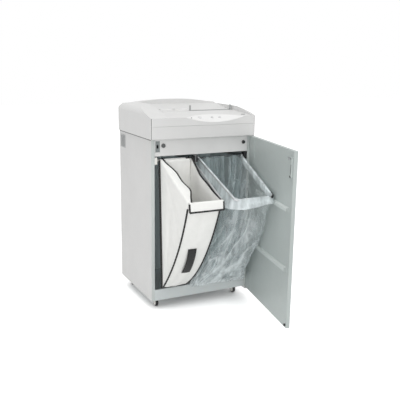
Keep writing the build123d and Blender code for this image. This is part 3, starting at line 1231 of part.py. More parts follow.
for caster_name, (caster_x, caster_y) in CASTERS.items():
    axle_y = caster_y + CASTER_TRAIL
    cheek_inner = WHEEL_WIDTH / 2 + FORK_GAP
    cheek_outer = cheek_inner + FORK_CHEEK
    with BuildPart() as caster_fork:
        bar((caster_x, caster_y, CROWN_BASE + CROWN_THICKNESS / 2), CROWN_RADIUS, CROWN_THICKNESS)
        kingpin_top = HOUSING_BASE + KINGPIN_LENGTH
        bar((caster_x, caster_y, (CROWN_BASE + kingpin_top) / 2), KINGPIN_RADIUS, kingpin_top - CROWN_BASE)
        with BuildSketch(Plane.YZ.offset(caster_x - cheek_outer)):
            with BuildLine():
                Polyline(
                    (caster_y - CROWN_RADIUS / 2, CROWN_TOP),
                    (caster_y + CROWN_RADIUS, CROWN_TOP),
                    (axle_y + 2 * AXLE_RADIUS, WHEEL_RADIUS),
                    (axle_y, WHEEL_RADIUS - 2 * AXLE_RADIUS),
                    (axle_y - 2 * AXLE_RADIUS, WHEEL_RADIUS),
                    close=True,
                )
            make_face()
        extrude(amount=2 * cheek_outer)
        block((caster_x - cheek_inner, caster_x + cheek_inner),
              (caster_y - 2 * WHEEL_RADIUS, axle_y + 2 * WHEEL_RADIUS), (0, CROWN_BASE), Mode.SUBTRACT)
        bar((caster_x, axle_y, WHEEL_RADIUS), AXLE_RADIUS, 2 * cheek_outer, ALONG_X)
    pieces[f"caster_fork_{caster_name}"] = caster_fork
    with BuildPart() as caster_wheel:
        bar((caster_x, axle_y, WHEEL_RADIUS), WHEEL_RADIUS, WHEEL_WIDTH, ALONG_X)
        fillet(caster_wheel.edges().filter_by(GeomType.CIRCLE), TREAD_ROUND)
        bar((caster_x, axle_y, WHEEL_RADIUS), AXLE_RADIUS + RUN_FIT, 2 * WHEEL_WIDTH, ALONG_X, Mode.SUBTRACT)
    pieces[f"caster_wheel_{caster_name}"] = caster_wheel

# One file for each piece
os.makedirs("parts", exist_ok=True)
for piece_name, piece in pieces.items():
    piece.part.label = piece_name
    export_step(piece.part, f"parts/{piece_name}.step")
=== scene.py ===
"""Finishes, waste bags and small trim for a cabinet shredder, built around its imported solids."""

import math

import bmesh
import bpy
import numpy as np
from bpy.props import FloatProperty, FloatVectorProperty, PointerProperty
from mathutils import Matrix, Vector, noise


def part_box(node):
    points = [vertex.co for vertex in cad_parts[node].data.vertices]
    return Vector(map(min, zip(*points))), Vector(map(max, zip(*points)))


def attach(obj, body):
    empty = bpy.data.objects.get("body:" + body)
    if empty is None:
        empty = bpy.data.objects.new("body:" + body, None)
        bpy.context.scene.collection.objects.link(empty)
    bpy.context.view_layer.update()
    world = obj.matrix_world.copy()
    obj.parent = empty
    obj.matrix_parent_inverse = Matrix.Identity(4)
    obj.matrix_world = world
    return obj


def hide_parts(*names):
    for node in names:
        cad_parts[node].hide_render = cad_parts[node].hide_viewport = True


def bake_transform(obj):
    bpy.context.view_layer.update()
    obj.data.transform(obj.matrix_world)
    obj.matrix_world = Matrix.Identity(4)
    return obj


bl_info = {
    "name": "Cabinet Shredder",
    "version": (1, 0, 0),
    "blender": (4, 5, 0),
    "location": "View3D > Sidebar > Shredder",
    "description": "Dresses a cabinet shredder with finishes, waste bags and small trim",
    "category": "Object",
}

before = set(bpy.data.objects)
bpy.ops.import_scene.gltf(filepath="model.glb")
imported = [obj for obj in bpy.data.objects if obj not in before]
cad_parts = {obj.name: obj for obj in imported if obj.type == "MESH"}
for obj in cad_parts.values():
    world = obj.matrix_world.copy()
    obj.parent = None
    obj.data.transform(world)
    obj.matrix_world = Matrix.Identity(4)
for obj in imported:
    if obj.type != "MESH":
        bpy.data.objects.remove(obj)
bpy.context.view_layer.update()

# Directions and places
RIGHT, BACK, UP = np.eye(3)
TURN = 2 * math.pi
CORNERS = ("front_left", "front_right", "rear_left", "rear_right")

# Rods and eyes of the bag frames
ROD_RADIUS = 0.004
EYE_RADIUS = 0.008

# The open door: its hinge, the way along it and its outer side
DOOR_HINGE = np.array((0.261, -0.221, 0.0))
DOOR_WAY = np.array((-0.18224, -0.98326, 0.0))
DOOR_OUT = np.array((0.98326, -0.18224, 0.0))


def linear(level):
    """The linear value of one 8-bit display level."""
    share = level / 255
    if share <= 0.04045:
        return share / 12.92
    return ((share + 0.055) / 1.055) ** 2.4


def colour(name, description, red, green, blue):
    """A colour property whose default is given in 8-bit display levels."""
    return FloatVectorProperty(
        name=name,
        description=description,
        subtype="COLOR",
        size=3,
        min=0.0,
        max=1.0,
        default=(linear(red), linear(green), linear(blue)),
    )


def length(name, description, default):
    """A length property in metres."""
    return FloatProperty(name=name, description=description, default=default, min=0.0, unit="LENGTH")


def angle(name, description, degrees):
    """An angle property whose default is given in degrees."""
    return FloatProperty(name=name, description=description, unit="ROTATION", default=math.radians(degrees))


def strength(name, description, default):
    """The strength of a light."""
    return FloatProperty(name=name, description=description, default=default, min=0.0)


class ShredderColours(bpy.types.PropertyGroup):
    """Colours of the shredder's finishes."""

    outer_paint: colour("Outer paint", "Powder coat on the outside of the cabinet", 212, 212, 211)
    inner_paint: colour("Inner paint", "Cool grey paint inside the door", 182, 190, 188)
    # Inner wall: the cool grey tint is the paint's own; its paleness above the outer paint is painted light inside the
    # cabinet.
    inner_wall_with_painted_light: colour("Inner wall", "Paler cool grey paint inside the cabinet", 220, 230, 231)
    # Door ribs: paler than the door's inner paint as painted light; the rib ends' colour is painted shade.
    rib: colour("Door ribs", "Paint of the ribs inside the door", 204, 211, 209)
    rib_end_painted_shade: colour("Rib ends", "Paint in the hollow at the ribs' ends", 160, 168, 166)
    flange: colour("Front flange", "Cool grey paint around the door opening", 196, 202, 200)
    # Cross panel: paler than the outer paint, as painted light that lifts the shade under the head's overhang.
    panel: colour("Cross panel", "Paint of the panel under the head", 226, 226, 225)
    head: colour("Head", "Moulded plastic of the head cover", 216, 216, 215)
    fascia: colour("Fascia", "Film over the control panel", 231, 231, 230)
    button: colour("Buttons", "Plastic of the push buttons", 226, 226, 226)
    mark: colour("Button marks", "Printed marks on the buttons", 132, 132, 136)
    lens: colour("Lens", "Smoked plastic of the light and window", 46, 49, 52)
    pan: colour("Floor pan", "Paint of the cabinet's floor", 204, 210, 210)
    strike: colour("Latch plate", "Dark plated latch strike", 128, 134, 134)
    throat: colour("Throat", "Plastic of the paper throat", 176, 178, 178)
    black: colour("Black plastic", "Moulded black fittings", 36, 36, 38)
    steel: colour("Plated steel", "Zinc plated brackets and screws", 186, 188, 190)
    cutter: colour("Cutter steel", "Ground and oiled knives and gears", 168, 168, 172)
    bronze: colour("Bronze", "Turned bushes", 190, 152, 96)
    motor: colour("Motor enamel", "Satin enamel on the motor", 66, 68, 70)
    board: colour("Circuit board", "Solder mask of the control board", 46, 98, 66)
    nylon: colour("Nylon", "Moulded sliding shoes", 234, 233, 228)
    rod: colour("Frame rod", "Bright nickel on the bag frames", 184, 186, 187)
    fabric: colour("Bag fabric", "Woven cloth of the fabric bag", 247, 247, 244)
    binding: colour("Binding", "Woven tape and webbing on the bag", 18, 18, 19)
    film: colour("Bag film", "Clear film of the second bag", 232, 240, 242)
    # Bag film, back: the darker film on the back wall is painted shade.
    film_rear_painted_shade: colour("Bag film, back", "Film in the dark folds of the second bag's back wall", 168, 182, 184)
    rubber: colour("Black rubber", "Buffers and tyres", 40, 40, 41)
    pad: colour("Grey rubber", "Pads on the door", 92, 94, 94)
    fork: colour("Caster fork", "Zinc plated caster forks", 226, 226, 222)
    floor: colour("Floor", "Plain pale studio floor", 246, 246, 246)


class FabricBagSizes(bpy.types.PropertyGroup):
    """Sizes of the woven bag on the left frame."""

    binding_width: length("Binding width", "Width of the tape along the seams", 0.0078)
    binding_thickness: length("Binding thickness", "Thickness of the folded tape", 0.0066)
    cloth: length("Cloth thickness", "Thickness of the woven cloth", 0.0014)
    left_draw: length("Left draw", "How far the left rim falls in from its rod", 0.036)
    right_draw: length("Right draw", "How far the right rim falls in from its rod", 0.013)
    rim_sag: length("Rim sag", "How far the side rims hang below the rods", 0.009)
    corner_tape: length("Corner tape", "Width of the thick tape down the rear left corner", 0.0115)
    fold: length("Fold depth", "Depth of the soft folds in the panels", 0.0045)
    cuff: length("Cuff drop", "Height of the cuff over the front bar", 0.035)


class FilmBagSizes(bpy.types.PropertyGroup):
    """Sizes of the clear bag on the right frame."""

    collar: length("Collar drop", "Height of the film turned over the rods", 0.042)
    crease: length("Crease depth", "Depth of the long creases", 0.012)
    crumple: length("Crumple depth", "Depth of the crumples near the bottom", 0.008)
    left_spread: length("Left spread", "How far the foot spreads to the left", 0.070)
    right_spread: length("Right spread", "How far the foot spreads to the right", 0.024)
    belly: length("Belly", "How far the front right swells above the foot", 0.024)


class TrimSizes(bpy.types.PropertyGroup):
    """Sizes of the small trim."""

    seam: length("Head seam", "Width of the joint lines at the head's front corners", 0.0022)
    screw: length("Screw head", "Radius of the countersunk screws", 0.0046)
    mark_stroke: length("Mark stroke", "Line width of the button marks", 0.0016)


class StageLook(bpy.types.PropertyGroup):
    """Camera and light of the studio."""

    eye: FloatVectorProperty(
        name="Camera place",
        description="Where the camera stands",
        subtype="TRANSLATION",
        unit="LENGTH",
        default=(-1.2950, -2.7666, 1.1949),
    )
    yaw: angle("Yaw", "Turn of the camera to the right", 26.69)
    pitch: angle("Pitch", "Downward tilt of the camera", 13.19)
    roll: angle("Roll", "Lean of the camera", 0.83)
    lens: FloatProperty(name="Lens", description="Focal length on a 36 mm sensor", unit="CAMERA", default=55.45)
    ambient: strength("Ambient", "Strength of the even studio light", 0.66)
    key: strength("Key light", "Power of the lamp behind the camera in watts", 44.0)
    top: strength("Top light", "Power of the overhead lamp in watts", 32.0)
    side: strength("Side light", "Power of the lamp on the left in watts", 9.0)
    floor_lift: strength("Floor lift", "White added to the open floor in the picture", 0.6)
    # Reach of the painted shadow that ambient occlusion puts on the floor round the cabinet.
    painted_shadow_reach: length("Shade reach", "How far from the cabinet the floor still darkens", 0.16)


EVEN = (1.0, 1.0, 1.0)
LATHE_TURNED = (0.2, 1.0, 1.0)


class Nodes:
    """A node tree while its nodes are being joined."""

    def __init__(self, tree):
        self.tree = tree

    def node(self, kind, inputs=None, **settings):
        """Adds a node of one kind with its settings, and links or sets its inputs."""
        made = self.tree.nodes.new(kind)
        for key, value in settings.items():
            setattr(made, key, value)
        for key, value in (inputs or {}).items():
            self.feed(made.inputs[key], value)
        return made

    def feed(self, socket, value):
        """Links an output to an input, or sets the input to a plain value."""
        if isinstance(value, bpy.types.NodeSocket):
            self.tree.links.new(value, socket)
        else:
            socket.default_value = value

    def span(self, value, low, high, start=0.3, end=0.7):
        """Maps a value between two limits."""
        limits = {"Value": value, "From Min": start, "From Max": end, "To Min": low, "To Max": high}
        return self.node("ShaderNodeMapRange", limits).outputs["Result"]

    def calc(self, operation, first, second):
        """One arithmetic step on sockets or plain numbers."""
        return self.node("ShaderNodeMath", {0: first, 1: second}, operation=operation).outputs["Value"]

    def seen(self):
        """One where a camera, mirror or clear surface looks, and nought for plain light."""
        path = self.node("ShaderNodeLightPath").outputs
        either = self.calc("MAXIMUM", path["Is Camera Ray"], path["Is Glossy Ray"])
        return self.calc("MAXIMUM", either, path["Is Transmission Ray"])


class Finish(Nodes):
    """A procedural material while its nodes are being joined."""

    def __init__(self, name):
        material = bpy.data.materials.new(f"{name}_finish")
        material.use_nodes = True
        super().__init__(material.node_tree)
        self.shader = self.tree.nodes["Principled BSDF"]
        self.place = self.node("ShaderNodeTexCoord").outputs["Object"]

    def put(self, name, value):
        """Links or sets one of the shader's inputs."""
        self.feed(self.shader.inputs[name], value)

    def mottle(self, scale, detail=4.0, stretch=EVEN):
        """A noise value in object space, stretched along the axes."""
        place = self.node("ShaderNodeMapping", {"Vector": self.place, "Scale": stretch}).outputs["Vector"]
        return self.node("ShaderNodeTexNoise", {"Vector": place, "Scale": scale, "Detail": detail}).outputs["Fac"]

    def bands(self, axis, period):
        """Evenly spaced ridges across one axis."""
        inputs = {"Vector": self.place, "Scale": math.pi / 10 / period}
        return self.node("ShaderNodeTexWave", inputs, bands_direction=axis).outputs["Fac"]

    def axis(self, letter):
        """The place along one axis."""
        return self.node("ShaderNodeSeparateXYZ", {"Vector": self.place}).outputs[letter]

    def noted(self, name):
        """A value kept with the points of a mesh, or nought where there is none."""
        return self.node("ShaderNodeAttribute", attribute_name=name).outputs["Fac"]

    def facing(self, direction, least):
        """One where the surface is turned to a direction, else nought."""
        normal = self.node("ShaderNodeTexCoord").outputs["Normal"]
        inputs = {0: normal, 1: tuple(direction)}
        share = self.node("ShaderNodeVectorMath", inputs, operation="DOT_PRODUCT").outputs["Value"]
        return self.calc("GREATER_THAN", share, least)

    def shades(self, value, shade, spread):
        """A colour that wanders a little around one shade."""
        ramp = self.node("ShaderNodeValToRGB", {"Fac": value})
        low, high = ramp.color_ramp.elements
        low.position, high.position = 0.3, 0.7
        low.color = (*(channel * (1 - spread) for channel in shade), 1.0)
        high.color = (*(min(1.0, channel * (1 + spread)) for channel in shade), 1.0)
        return ramp.outputs["Color"]

    def coat(self, scale, shade, spread, *layers):
        """Paints one shade with its spread, and others over it where their masks are one."""
        mottle = self.mottle(scale)
        paint = self.shades(mottle, shade, spread)
        for mask, shade, spread in layers:
            inputs = {0: mask, 6: paint, 7: self.shades(mottle, shade, spread)}
            paint = self.node("ShaderNodeMix", inputs, data_type="RGBA").outputs[2]
        self.put("Base Color", paint)

    def roughen(self, scale, low, high, detail=4.0, stretch=EVEN):
        """Lets the roughness wander between two values."""
        self.put("Roughness", self.span(self.mottle(scale, detail, stretch), low, high))

    def relief(self, height, depth, edge=0.0):
        """Puts fine bumps on softened edges into the shader's normal."""
        inputs = {"Strength": 1.0, "Distance": depth, "Height": height}
        if edge:
            inputs["Normal"] = self.node("ShaderNodeBevel", {"Radius": edge}, samples=4).outputs["Normal"]
        self.put("Normal", self.node("ShaderNodeBump", inputs).outputs["Normal"])


def hard_finish(name, shade, rough, metal=0.0, grain=900.0, depth=0.00004, spread=0.03, edge=0.0012, stretch=EVEN):
    """A moulded, painted or metal surface with a fine grain, a faint mottle and softened edges."""
    finish = Finish(name)
    finish.put("Metallic", metal)
    finish.coat(7.0, shade, spread)
    finish.roughen(38.0, rough - 0.06, rough + 0.06, 5.0, stretch)
    finish.relief(finish.mottle(grain, 2.0, stretch), depth, edge)


def cabinet_coat(name, outer, inner, flange):
    """Powder coat that is pale outside, grey in front, and paler within the cabinet's walls, where the cool grey is the
    paint's own and the paleness is painted light inside the cabinet.
    """
    low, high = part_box("cabinet_shell")
    skin = 0.0008
    finish = Finish(name)
    across = finish.calc("ABSOLUTE", finish.axis("X"), 0.0)
    between = finish.calc("LESS_THAN", across, high.x - skin)
    inside, ahead = (
        finish.calc("MULTIPLY", between, finish.calc("LESS_THAN", finish.axis("Y"), limit))
        for limit in (high.y - skin, low.y + skin)
    )
    # Inside the walls the paint is paler, as painted light inside the cabinet.
    finish.coat(6.0, outer, 0.025, (inside, inner, 0.03), (ahead, flange, 0.025))
    finish.roughen(60.0, 0.40, 0.52)
    finish.relief(finish.mottle(1300.0, 2.0), 0.00005, 0.0010)


def door_coat(name, outer, inner):
    """Paint of the open door: pale on the face turned outward, cool grey elsewhere."""
    finish = Finish(name)
    finish.coat(5.0, inner, 0.03, (finish.facing(DOOR_OUT, 0.5), outer, 0.025))
    finish.roughen(50.0, 0.36, 0.48)
    finish.relief(finish.mottle(1300.0, 2.0), 0.00004, 0.0012)


def rib_coat_with_painted_light(name, shade, painted_end_shade):
    """Paint of the door's ribs, paler than the door as painted light on their faces, with painted shade on the ends
    that are turned along the door.
    """
    finish = Finish(name)
    # Faces turned along the door take the darker colour as painted shade.
    finish.coat(5.0, shade, 0.03, (finish.facing(DOOR_WAY, 0.3), painted_end_shade, 0.03))
    finish.roughen(50.0, 0.40, 0.52)


def shoe_nylon(name, pale, dark):
    """Nylon of the sliding shoes: pale at the left wall, dark elsewhere."""
    finish = Finish(name)
    at_wall = finish.calc("LESS_THAN", finish.axis("X"), -0.19)
    finish.coat(9.0, dark, 0.08, (at_wall, pale, 0.02))
    finish.roughen(40.0, 0.42, 0.54)
    finish.relief(finish.mottle(900.0, 2.0), 0.00003, 0.001)


def woven_cloth(name, shade):
    """Plain woven cloth with a faint wrinkle."""
    thread = 0.0011
    finish = Finish(name)
    finish.put("Sheen Weight", 0.15)
    finish.put("Specular IOR Level", 0.25)
    finish.put("Base Color", finish.shades(finish.mottle(24.0, 6.0), shade, 0.03))
    finish.roughen(90.0, 0.78, 0.92)
    height = finish.calc("MULTIPLY", finish.mottle(46.0, 3.0), 14.0)
    for axis in "XZY":
        height = finish.calc("ADD", height, finish.bands(axis, thread))
    finish.relief(height, 0.00009)


def woven_tape(name, shade):
    """Black tape with a ribbed weave."""
    finish = Finish(name)
    finish.put("Sheen Weight", 0.06)
    finish.coat(120.0, shade, 0.25)
    finish.roughen(300.0, 0.62, 0.82)
    finish.relief(finish.bands("DIAGONAL", 0.0016), 0.00025)


def clear_film(name, shade, painted_rear_shade, thin, thick, top_share):
    """Clear bag film, hazier where it is creased, partly the film's own haze and partly painted highlight, with painted
    shade on its back wall as darker, denser film.
    """
    finish = Finish(name)
    # The back wall takes a darker colour and denser film as painted shade.
    rear = finish.noted("rear")
    finish.put("Specular IOR Level", 0.7)
    finish.coat(9.0, shade, 0.05, (rear, painted_rear_shade, 0.08))
    streaks = finish.span(finish.mottle(16.0, 6.0, (2.2, 2.2, 0.35)), thin, thick, 0.35, 0.70)
    gathered = finish.span(finish.axis("Z"), 0.80, top_share, 0.10, 0.62)
    back_wall_painted_shade = finish.span(finish.mottle(24.0, 5.0, (2.6, 2.6, 0.12)), 0.05, 0.45, 0.38, 0.62)
    cover = finish.calc("MULTIPLY", streaks, gathered)
    # Haze along creases and strands adds whiter, denser film, partly the film's own haze and partly painted highlight.
    for share, haze in ((rear, back_wall_painted_shade), (finish.noted("haze"), 0.36)):
        cover = finish.calc("ADD", cover, finish.calc("MULTIPLY", share, haze))
    finish.put("Alpha", cover)
    finish.roughen(40.0, 0.12, 0.28)
    finish.relief(finish.mottle(70.0, 5.0, (1.0, 1.0, 0.4)), 0.0016)


# Colour, roughness and what else sets each hard finish apart
HARD_FINISHES = {
    # The panel paint is paler as painted light under the head's overhang; the hinge brackets share it.
    "panel_paint": ("panel", 0.46, {"grain": 1300.0, "edge": 0.001}),
    "pan_paint": ("pan", 0.46, {"grain": 1300.0, "edge": 0.001}),
    "strike_steel": ("strike", 0.42, {"metal": 0.4, "grain": 420.0, "spread": 0.06}),
    "head_plastic": ("head", 0.46, {"depth": 0.00005, "spread": 0.012, "edge": 0.0025}),
    "fascia_white": ("fascia", 0.34, {"grain": 500.0, "depth": 0.00002, "spread": 0.01}),
    "button_white": ("button", 0.36, {"depth": 0.00002, "spread": 0.01}),
    "button_mark": ("mark", 0.5, {}),
    "lens_dark": ("lens", 0.14, {"grain": 300.0, "depth": 0.00001, "spread": 0.06}),
    "throat_grey": ("throat", 0.5, {}),
    "black_plastic": ("black", 0.44, {"spread": 0.10}),
    "plated_steel": ("steel", 0.34, {"metal": 0.9, "grain": 420.0, "spread": 0.07}),
    "cutter_steel": ("cutter", 0.28, {"metal": 1.0, "spread": 0.08, "stretch": LATHE_TURNED}),
    "bush_bronze": ("bronze", 0.32, {"metal": 1.0, "spread": 0.08, "stretch": LATHE_TURNED}),
    "motor_paint": ("motor", 0.38, {"spread": 0.08}),
    "board_green": ("board", 0.32, {"grain": 260.0, "spread": 0.12}),
    "nylon_white": ("nylon", 0.5, {"spread": 0.02}),
    "frame_rod": ("rod", 0.36, {"metal": 1.0, "grain": 700.0, "depth": 0.00001, "spread": 0.05}),
    "rubber_black": ("rubber", 0.62, {"spread": 0.12}),
    "rubber_grey": ("pad", 0.64, {"spread": 0.06}),
    "caster_fork": ("fork", 0.46, {"metal": 0.35, "grain": 420.0, "spread": 0.05}),
    "caster_tread": ("rubber", 0.6, {"grain": 500.0, "spread": 0.12}),
}

# The solids that take each finish
SOLID_FINISHES = {
    "cabinet_paint": ("cabinet_shell",),
    "panel_paint": ("cross_panel", "hinge_brackets"),
    "pan_paint": ("floor_pan",),
    "door_paint": ("door_panel", "door_liner", "door_lock_body", "hinge_plates"),
    "rib_paint": ("door_stiffeners",),
    "head_plastic": ("head_cover",),
    "fascia_white": ("control_fascia", "disc_bezel"),
    "button_white": ("start_button", "stop_button", "reverse_button"),
    "lens_dark": ("indicator_lenses",),
    "throat_grey": ("paper_throat", "side_vent_grille", "waste_chutes"),
    "black_plastic": (
        "power_module", "main_switch_rocker", "safety_plunger", "safety_switch", "stripper_combs",
    ),
    "plated_steel": (
        "bag_rails", "caster_plates", "cutter_side_plates", "deck_plate", "door_latch_cam",
        "hinge_pins", "motor_mount", "plate_bolts", "tie_rods",
    ),
    "cutter_steel": (
        "front_cutter_shaft", "rear_cutter_shaft", "front_sync_gear", "rear_sync_gear", "drive_gear", "motor_pinion",
    ),
    "bush_bronze": ("shaft_bushes",),
    "motor_paint": ("motor_body",),
    "board_green": ("control_board",),
    "shoe_nylon": ("left_carriage", "right_carriage"),
    "frame_rod": ("left_bag_frame", "right_bag_frame"),
    "strike_steel": ("latch_strike",),
    "rubber_grey": ("door_buffer",),
    "rubber_black": ("door_stop_pad",),
    "caster_fork": tuple(f"caster_fork_{corner}" for corner in CORNERS),
    "caster_tread": tuple(f"caster_wheel_{corner}" for corner in CORNERS),
}


def make_finishes(colours):
    """Makes all the finishes. Solids and pieces then take them by name."""
    for name, (shade, rough, extra) in HARD_FINISHES.items():
        hard_finish(name, getattr(colours, shade), rough, **extra)
    cabinet_coat("cabinet_paint", colours.outer_paint, colours.inner_wall_with_painted_light, colours.flange)
    door_coat("door_paint", colours.outer_paint, colours.inner_paint)
    rib_coat_with_painted_light("rib_paint", colours.rib, colours.rib_end_painted_shade)
    shoe_nylon("shoe_nylon", colours.nylon, colours.black)
    woven_cloth("bag_fabric", colours.fabric)
    woven_tape("strap_webbing", colours.binding)
    clear_film("bag_film", colours.film, colours.film_rear_painted_shade, 0.22, 0.70, 0.24)
    clear_film("collar_film", colours.film, colours.film_rear_painted_shade, 0.42, 0.94, 1.0)


def take_finish(mesh, name):
    """Gives a mesh one finish."""
    mesh.materials.append(bpy.data.materials[f"{name}_finish"])


def add_object(name, data):
    """Puts a new object into the scene."""
    made = bpy.data.objects.new(name, data)
    bpy.context.scene.collection.objects.link(made)
    return made


def make_piece(name, points, faces, finish, slot=None):
    """A smooth mesh piece with one finish. The record slot, which mostly has the same name, is not used."""
    mesh = bpy.data.meshes.new(name)
    mesh.from_pydata([tuple(point) for point in points], [], faces)
    take_finish(mesh, finish)
    mesh.shade_smooth()
    piece = add_object(name, mesh)
    return piece


def fit_piece(body, name, parts, finish, slot=None):
    """A piece of one or more parts that rides on a body."""
    piece = make_piece(name, *join_parts(parts), finish, slot)
    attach(piece, body)


def grid_faces(rows, columns, closed=False):
    """Quads over a grid of points kept row by row."""
    faces = []
    for row in range(rows - 1):
        for column in range(columns if closed else columns - 1):
            here = row * columns + column
            beside = row * columns + (column + 1) % columns
            faces.append((here, beside, beside + columns, here + columns))
    return faces


def panel_grid(point, rows, columns):
    """Points and faces of a panel, from a function of two shares."""
    places = [point(row / (rows - 1), column / (columns - 1)) for row in range(rows) for column in range(columns)]
    return places, grid_faces(rows, columns)


def weld(piece, reach=0.00002):
    """Joins the points of a piece that meet at its seams and turns its faces one way."""
    cloth = bmesh.new()
    cloth.from_mesh(piece.data)
    bmesh.ops.remove_doubles(cloth, verts=cloth.verts, dist=reach)
    bmesh.ops.recalc_face_normals(cloth, faces=cloth.faces)
    cloth.to_mesh(piece.data)
    cloth.free()


def thicken(piece, thickness):
    """Gives a sheet its thickness."""
    solid = piece.modifiers.new("thickness", "SOLIDIFY")
    solid.thickness = thickness
    solid.offset = 0.0


def sweep(path, width, thickness, lift, sides=10):
    """Points and faces of a rounded flat tape along a path, its flat side turned to lift."""
    path = np.array(path, dtype=float)
    along = np.gradient(path, axis=0)
    along /= np.linalg.norm(along, axis=1, keepdims=True)
    across = np.cross(np.broadcast_to(lift, path.shape), along)
    across /= np.linalg.norm(across, axis=1, keepdims=True)
    out = np.cross(along, across)
    rings = []
    for turn in np.linspace(0, TURN, sides, endpoint=False):
        wide = width / 2 * math.copysign(abs(math.cos(turn)) ** 0.6, math.cos(turn))
        thick = thickness / 2 * math.copysign(abs(math.sin(turn)) ** 0.6, math.sin(turn))
        rings.append(path + across * wide + out * thick)
    points = np.stack(rings, axis=1).reshape(-1, 3)
    faces = grid_faces(len(path), sides, closed=True)
    faces.append(tuple(range(sides))[::-1])
    faces.append(tuple(range(len(points) - sides, len(points))))
    return points, faces


def lathe(centre, first, second, outward, rings, count):
    """Points and faces of a turned shape that stands on a face: radius and height of each ring."""
    points = []
    for radius, proud in rings:
        for turn in np.linspace(0, TURN, count, endpoint=False):
            spoke = first * math.cos(turn) + second * math.sin(turn)
            points.append(centre + spoke * radius + outward * proud)
    return points, grid_faces(len(rings), count, closed=True)


def join_parts(parts):
    """One list of points and faces from several."""
    points, faces = [], []
    for part_points, part_faces in parts:
        start = len(points)
        points.extend(part_points)
        faces.extend(tuple(index + start for index in face) for face in part_faces)
    return points, faces


def arc_through(first, middle, last):
    """A function of a share from 0 to 1 along the circle through three points."""
    (ax, ay), (bx, by), (cx, cy) = first, middle, last
    twice = 2 * (ax * (by - cy) + bx * (cy - ay) + cx * (ay - by))
    a2, b2, c2 = ax * ax + ay * ay, bx * bx + by * by, cx * cx + cy * cy
    ux = (a2 * (by - cy) + b2 * (cy - ay) + c2 * (ay - by)) / twice
    uy = (a2 * (cx - bx) + b2 * (ax - cx) + c2 * (bx - ax)) / twice
    radius = math.hypot(ax - ux, ay - uy)
    start = math.atan2(ay - uy, ax - ux)
    turn = (math.atan2(cy - uy, cx - ux) - start + math.pi) % TURN - math.pi

    def at(share):
        here = start + turn * share
        return np.array((ux + radius * math.cos(here), uy + radius * math.sin(here)))

    return at


def frame_rim(node):
    """Pivot, front bar (both y, z) and tilt of a bag frame, from its solid."""
    low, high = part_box(node)
    pivot = np.array((high.y - EYE_RADIUS, high.z - EYE_RADIUS))
    bar = np.array((low.y + ROD_RADIUS, low.z + ROD_RADIUS))
    tilt = math.atan2(pivot[1] - bar[1], pivot[0] - bar[0])
    return pivot, bar, tilt


def ripple(*place):
    """Smooth noise from -1 to 1 at a place of two or three numbers."""
    seed = 7.3
    return noise.noise(Vector((*place, seed)[:3]))


def past(share, start):
    """How far a share has gone past a start, from nought to one."""
    return max(0.0, (share - start) / (1 - start))


class BagForm:
    """The front curve and back line of a bag that hangs on a tilted frame, as pairs of y and z."""

    def __init__(self, sizes, node):
        self.sizes = sizes
        self.pivot, self.bar, self.tilt = frame_rim(node)
        self.front = arc_through(self.bar + self.RIM_SHIFT, self.BELLY, self.TOE)
        self.rear_rim = self.pivot + self.REAR_SHIFT

    def back(self, share):
        """Line of the back wall, rim to heel."""
        return self.rear_rim + (np.array(self.HEEL) - self.rear_rim) * share

    def side(self, along, down):
        """A place on the bag's side: along from back to front, down from rim to bottom."""
        return self.back(down) * (1 - along) + self.front(down) * along


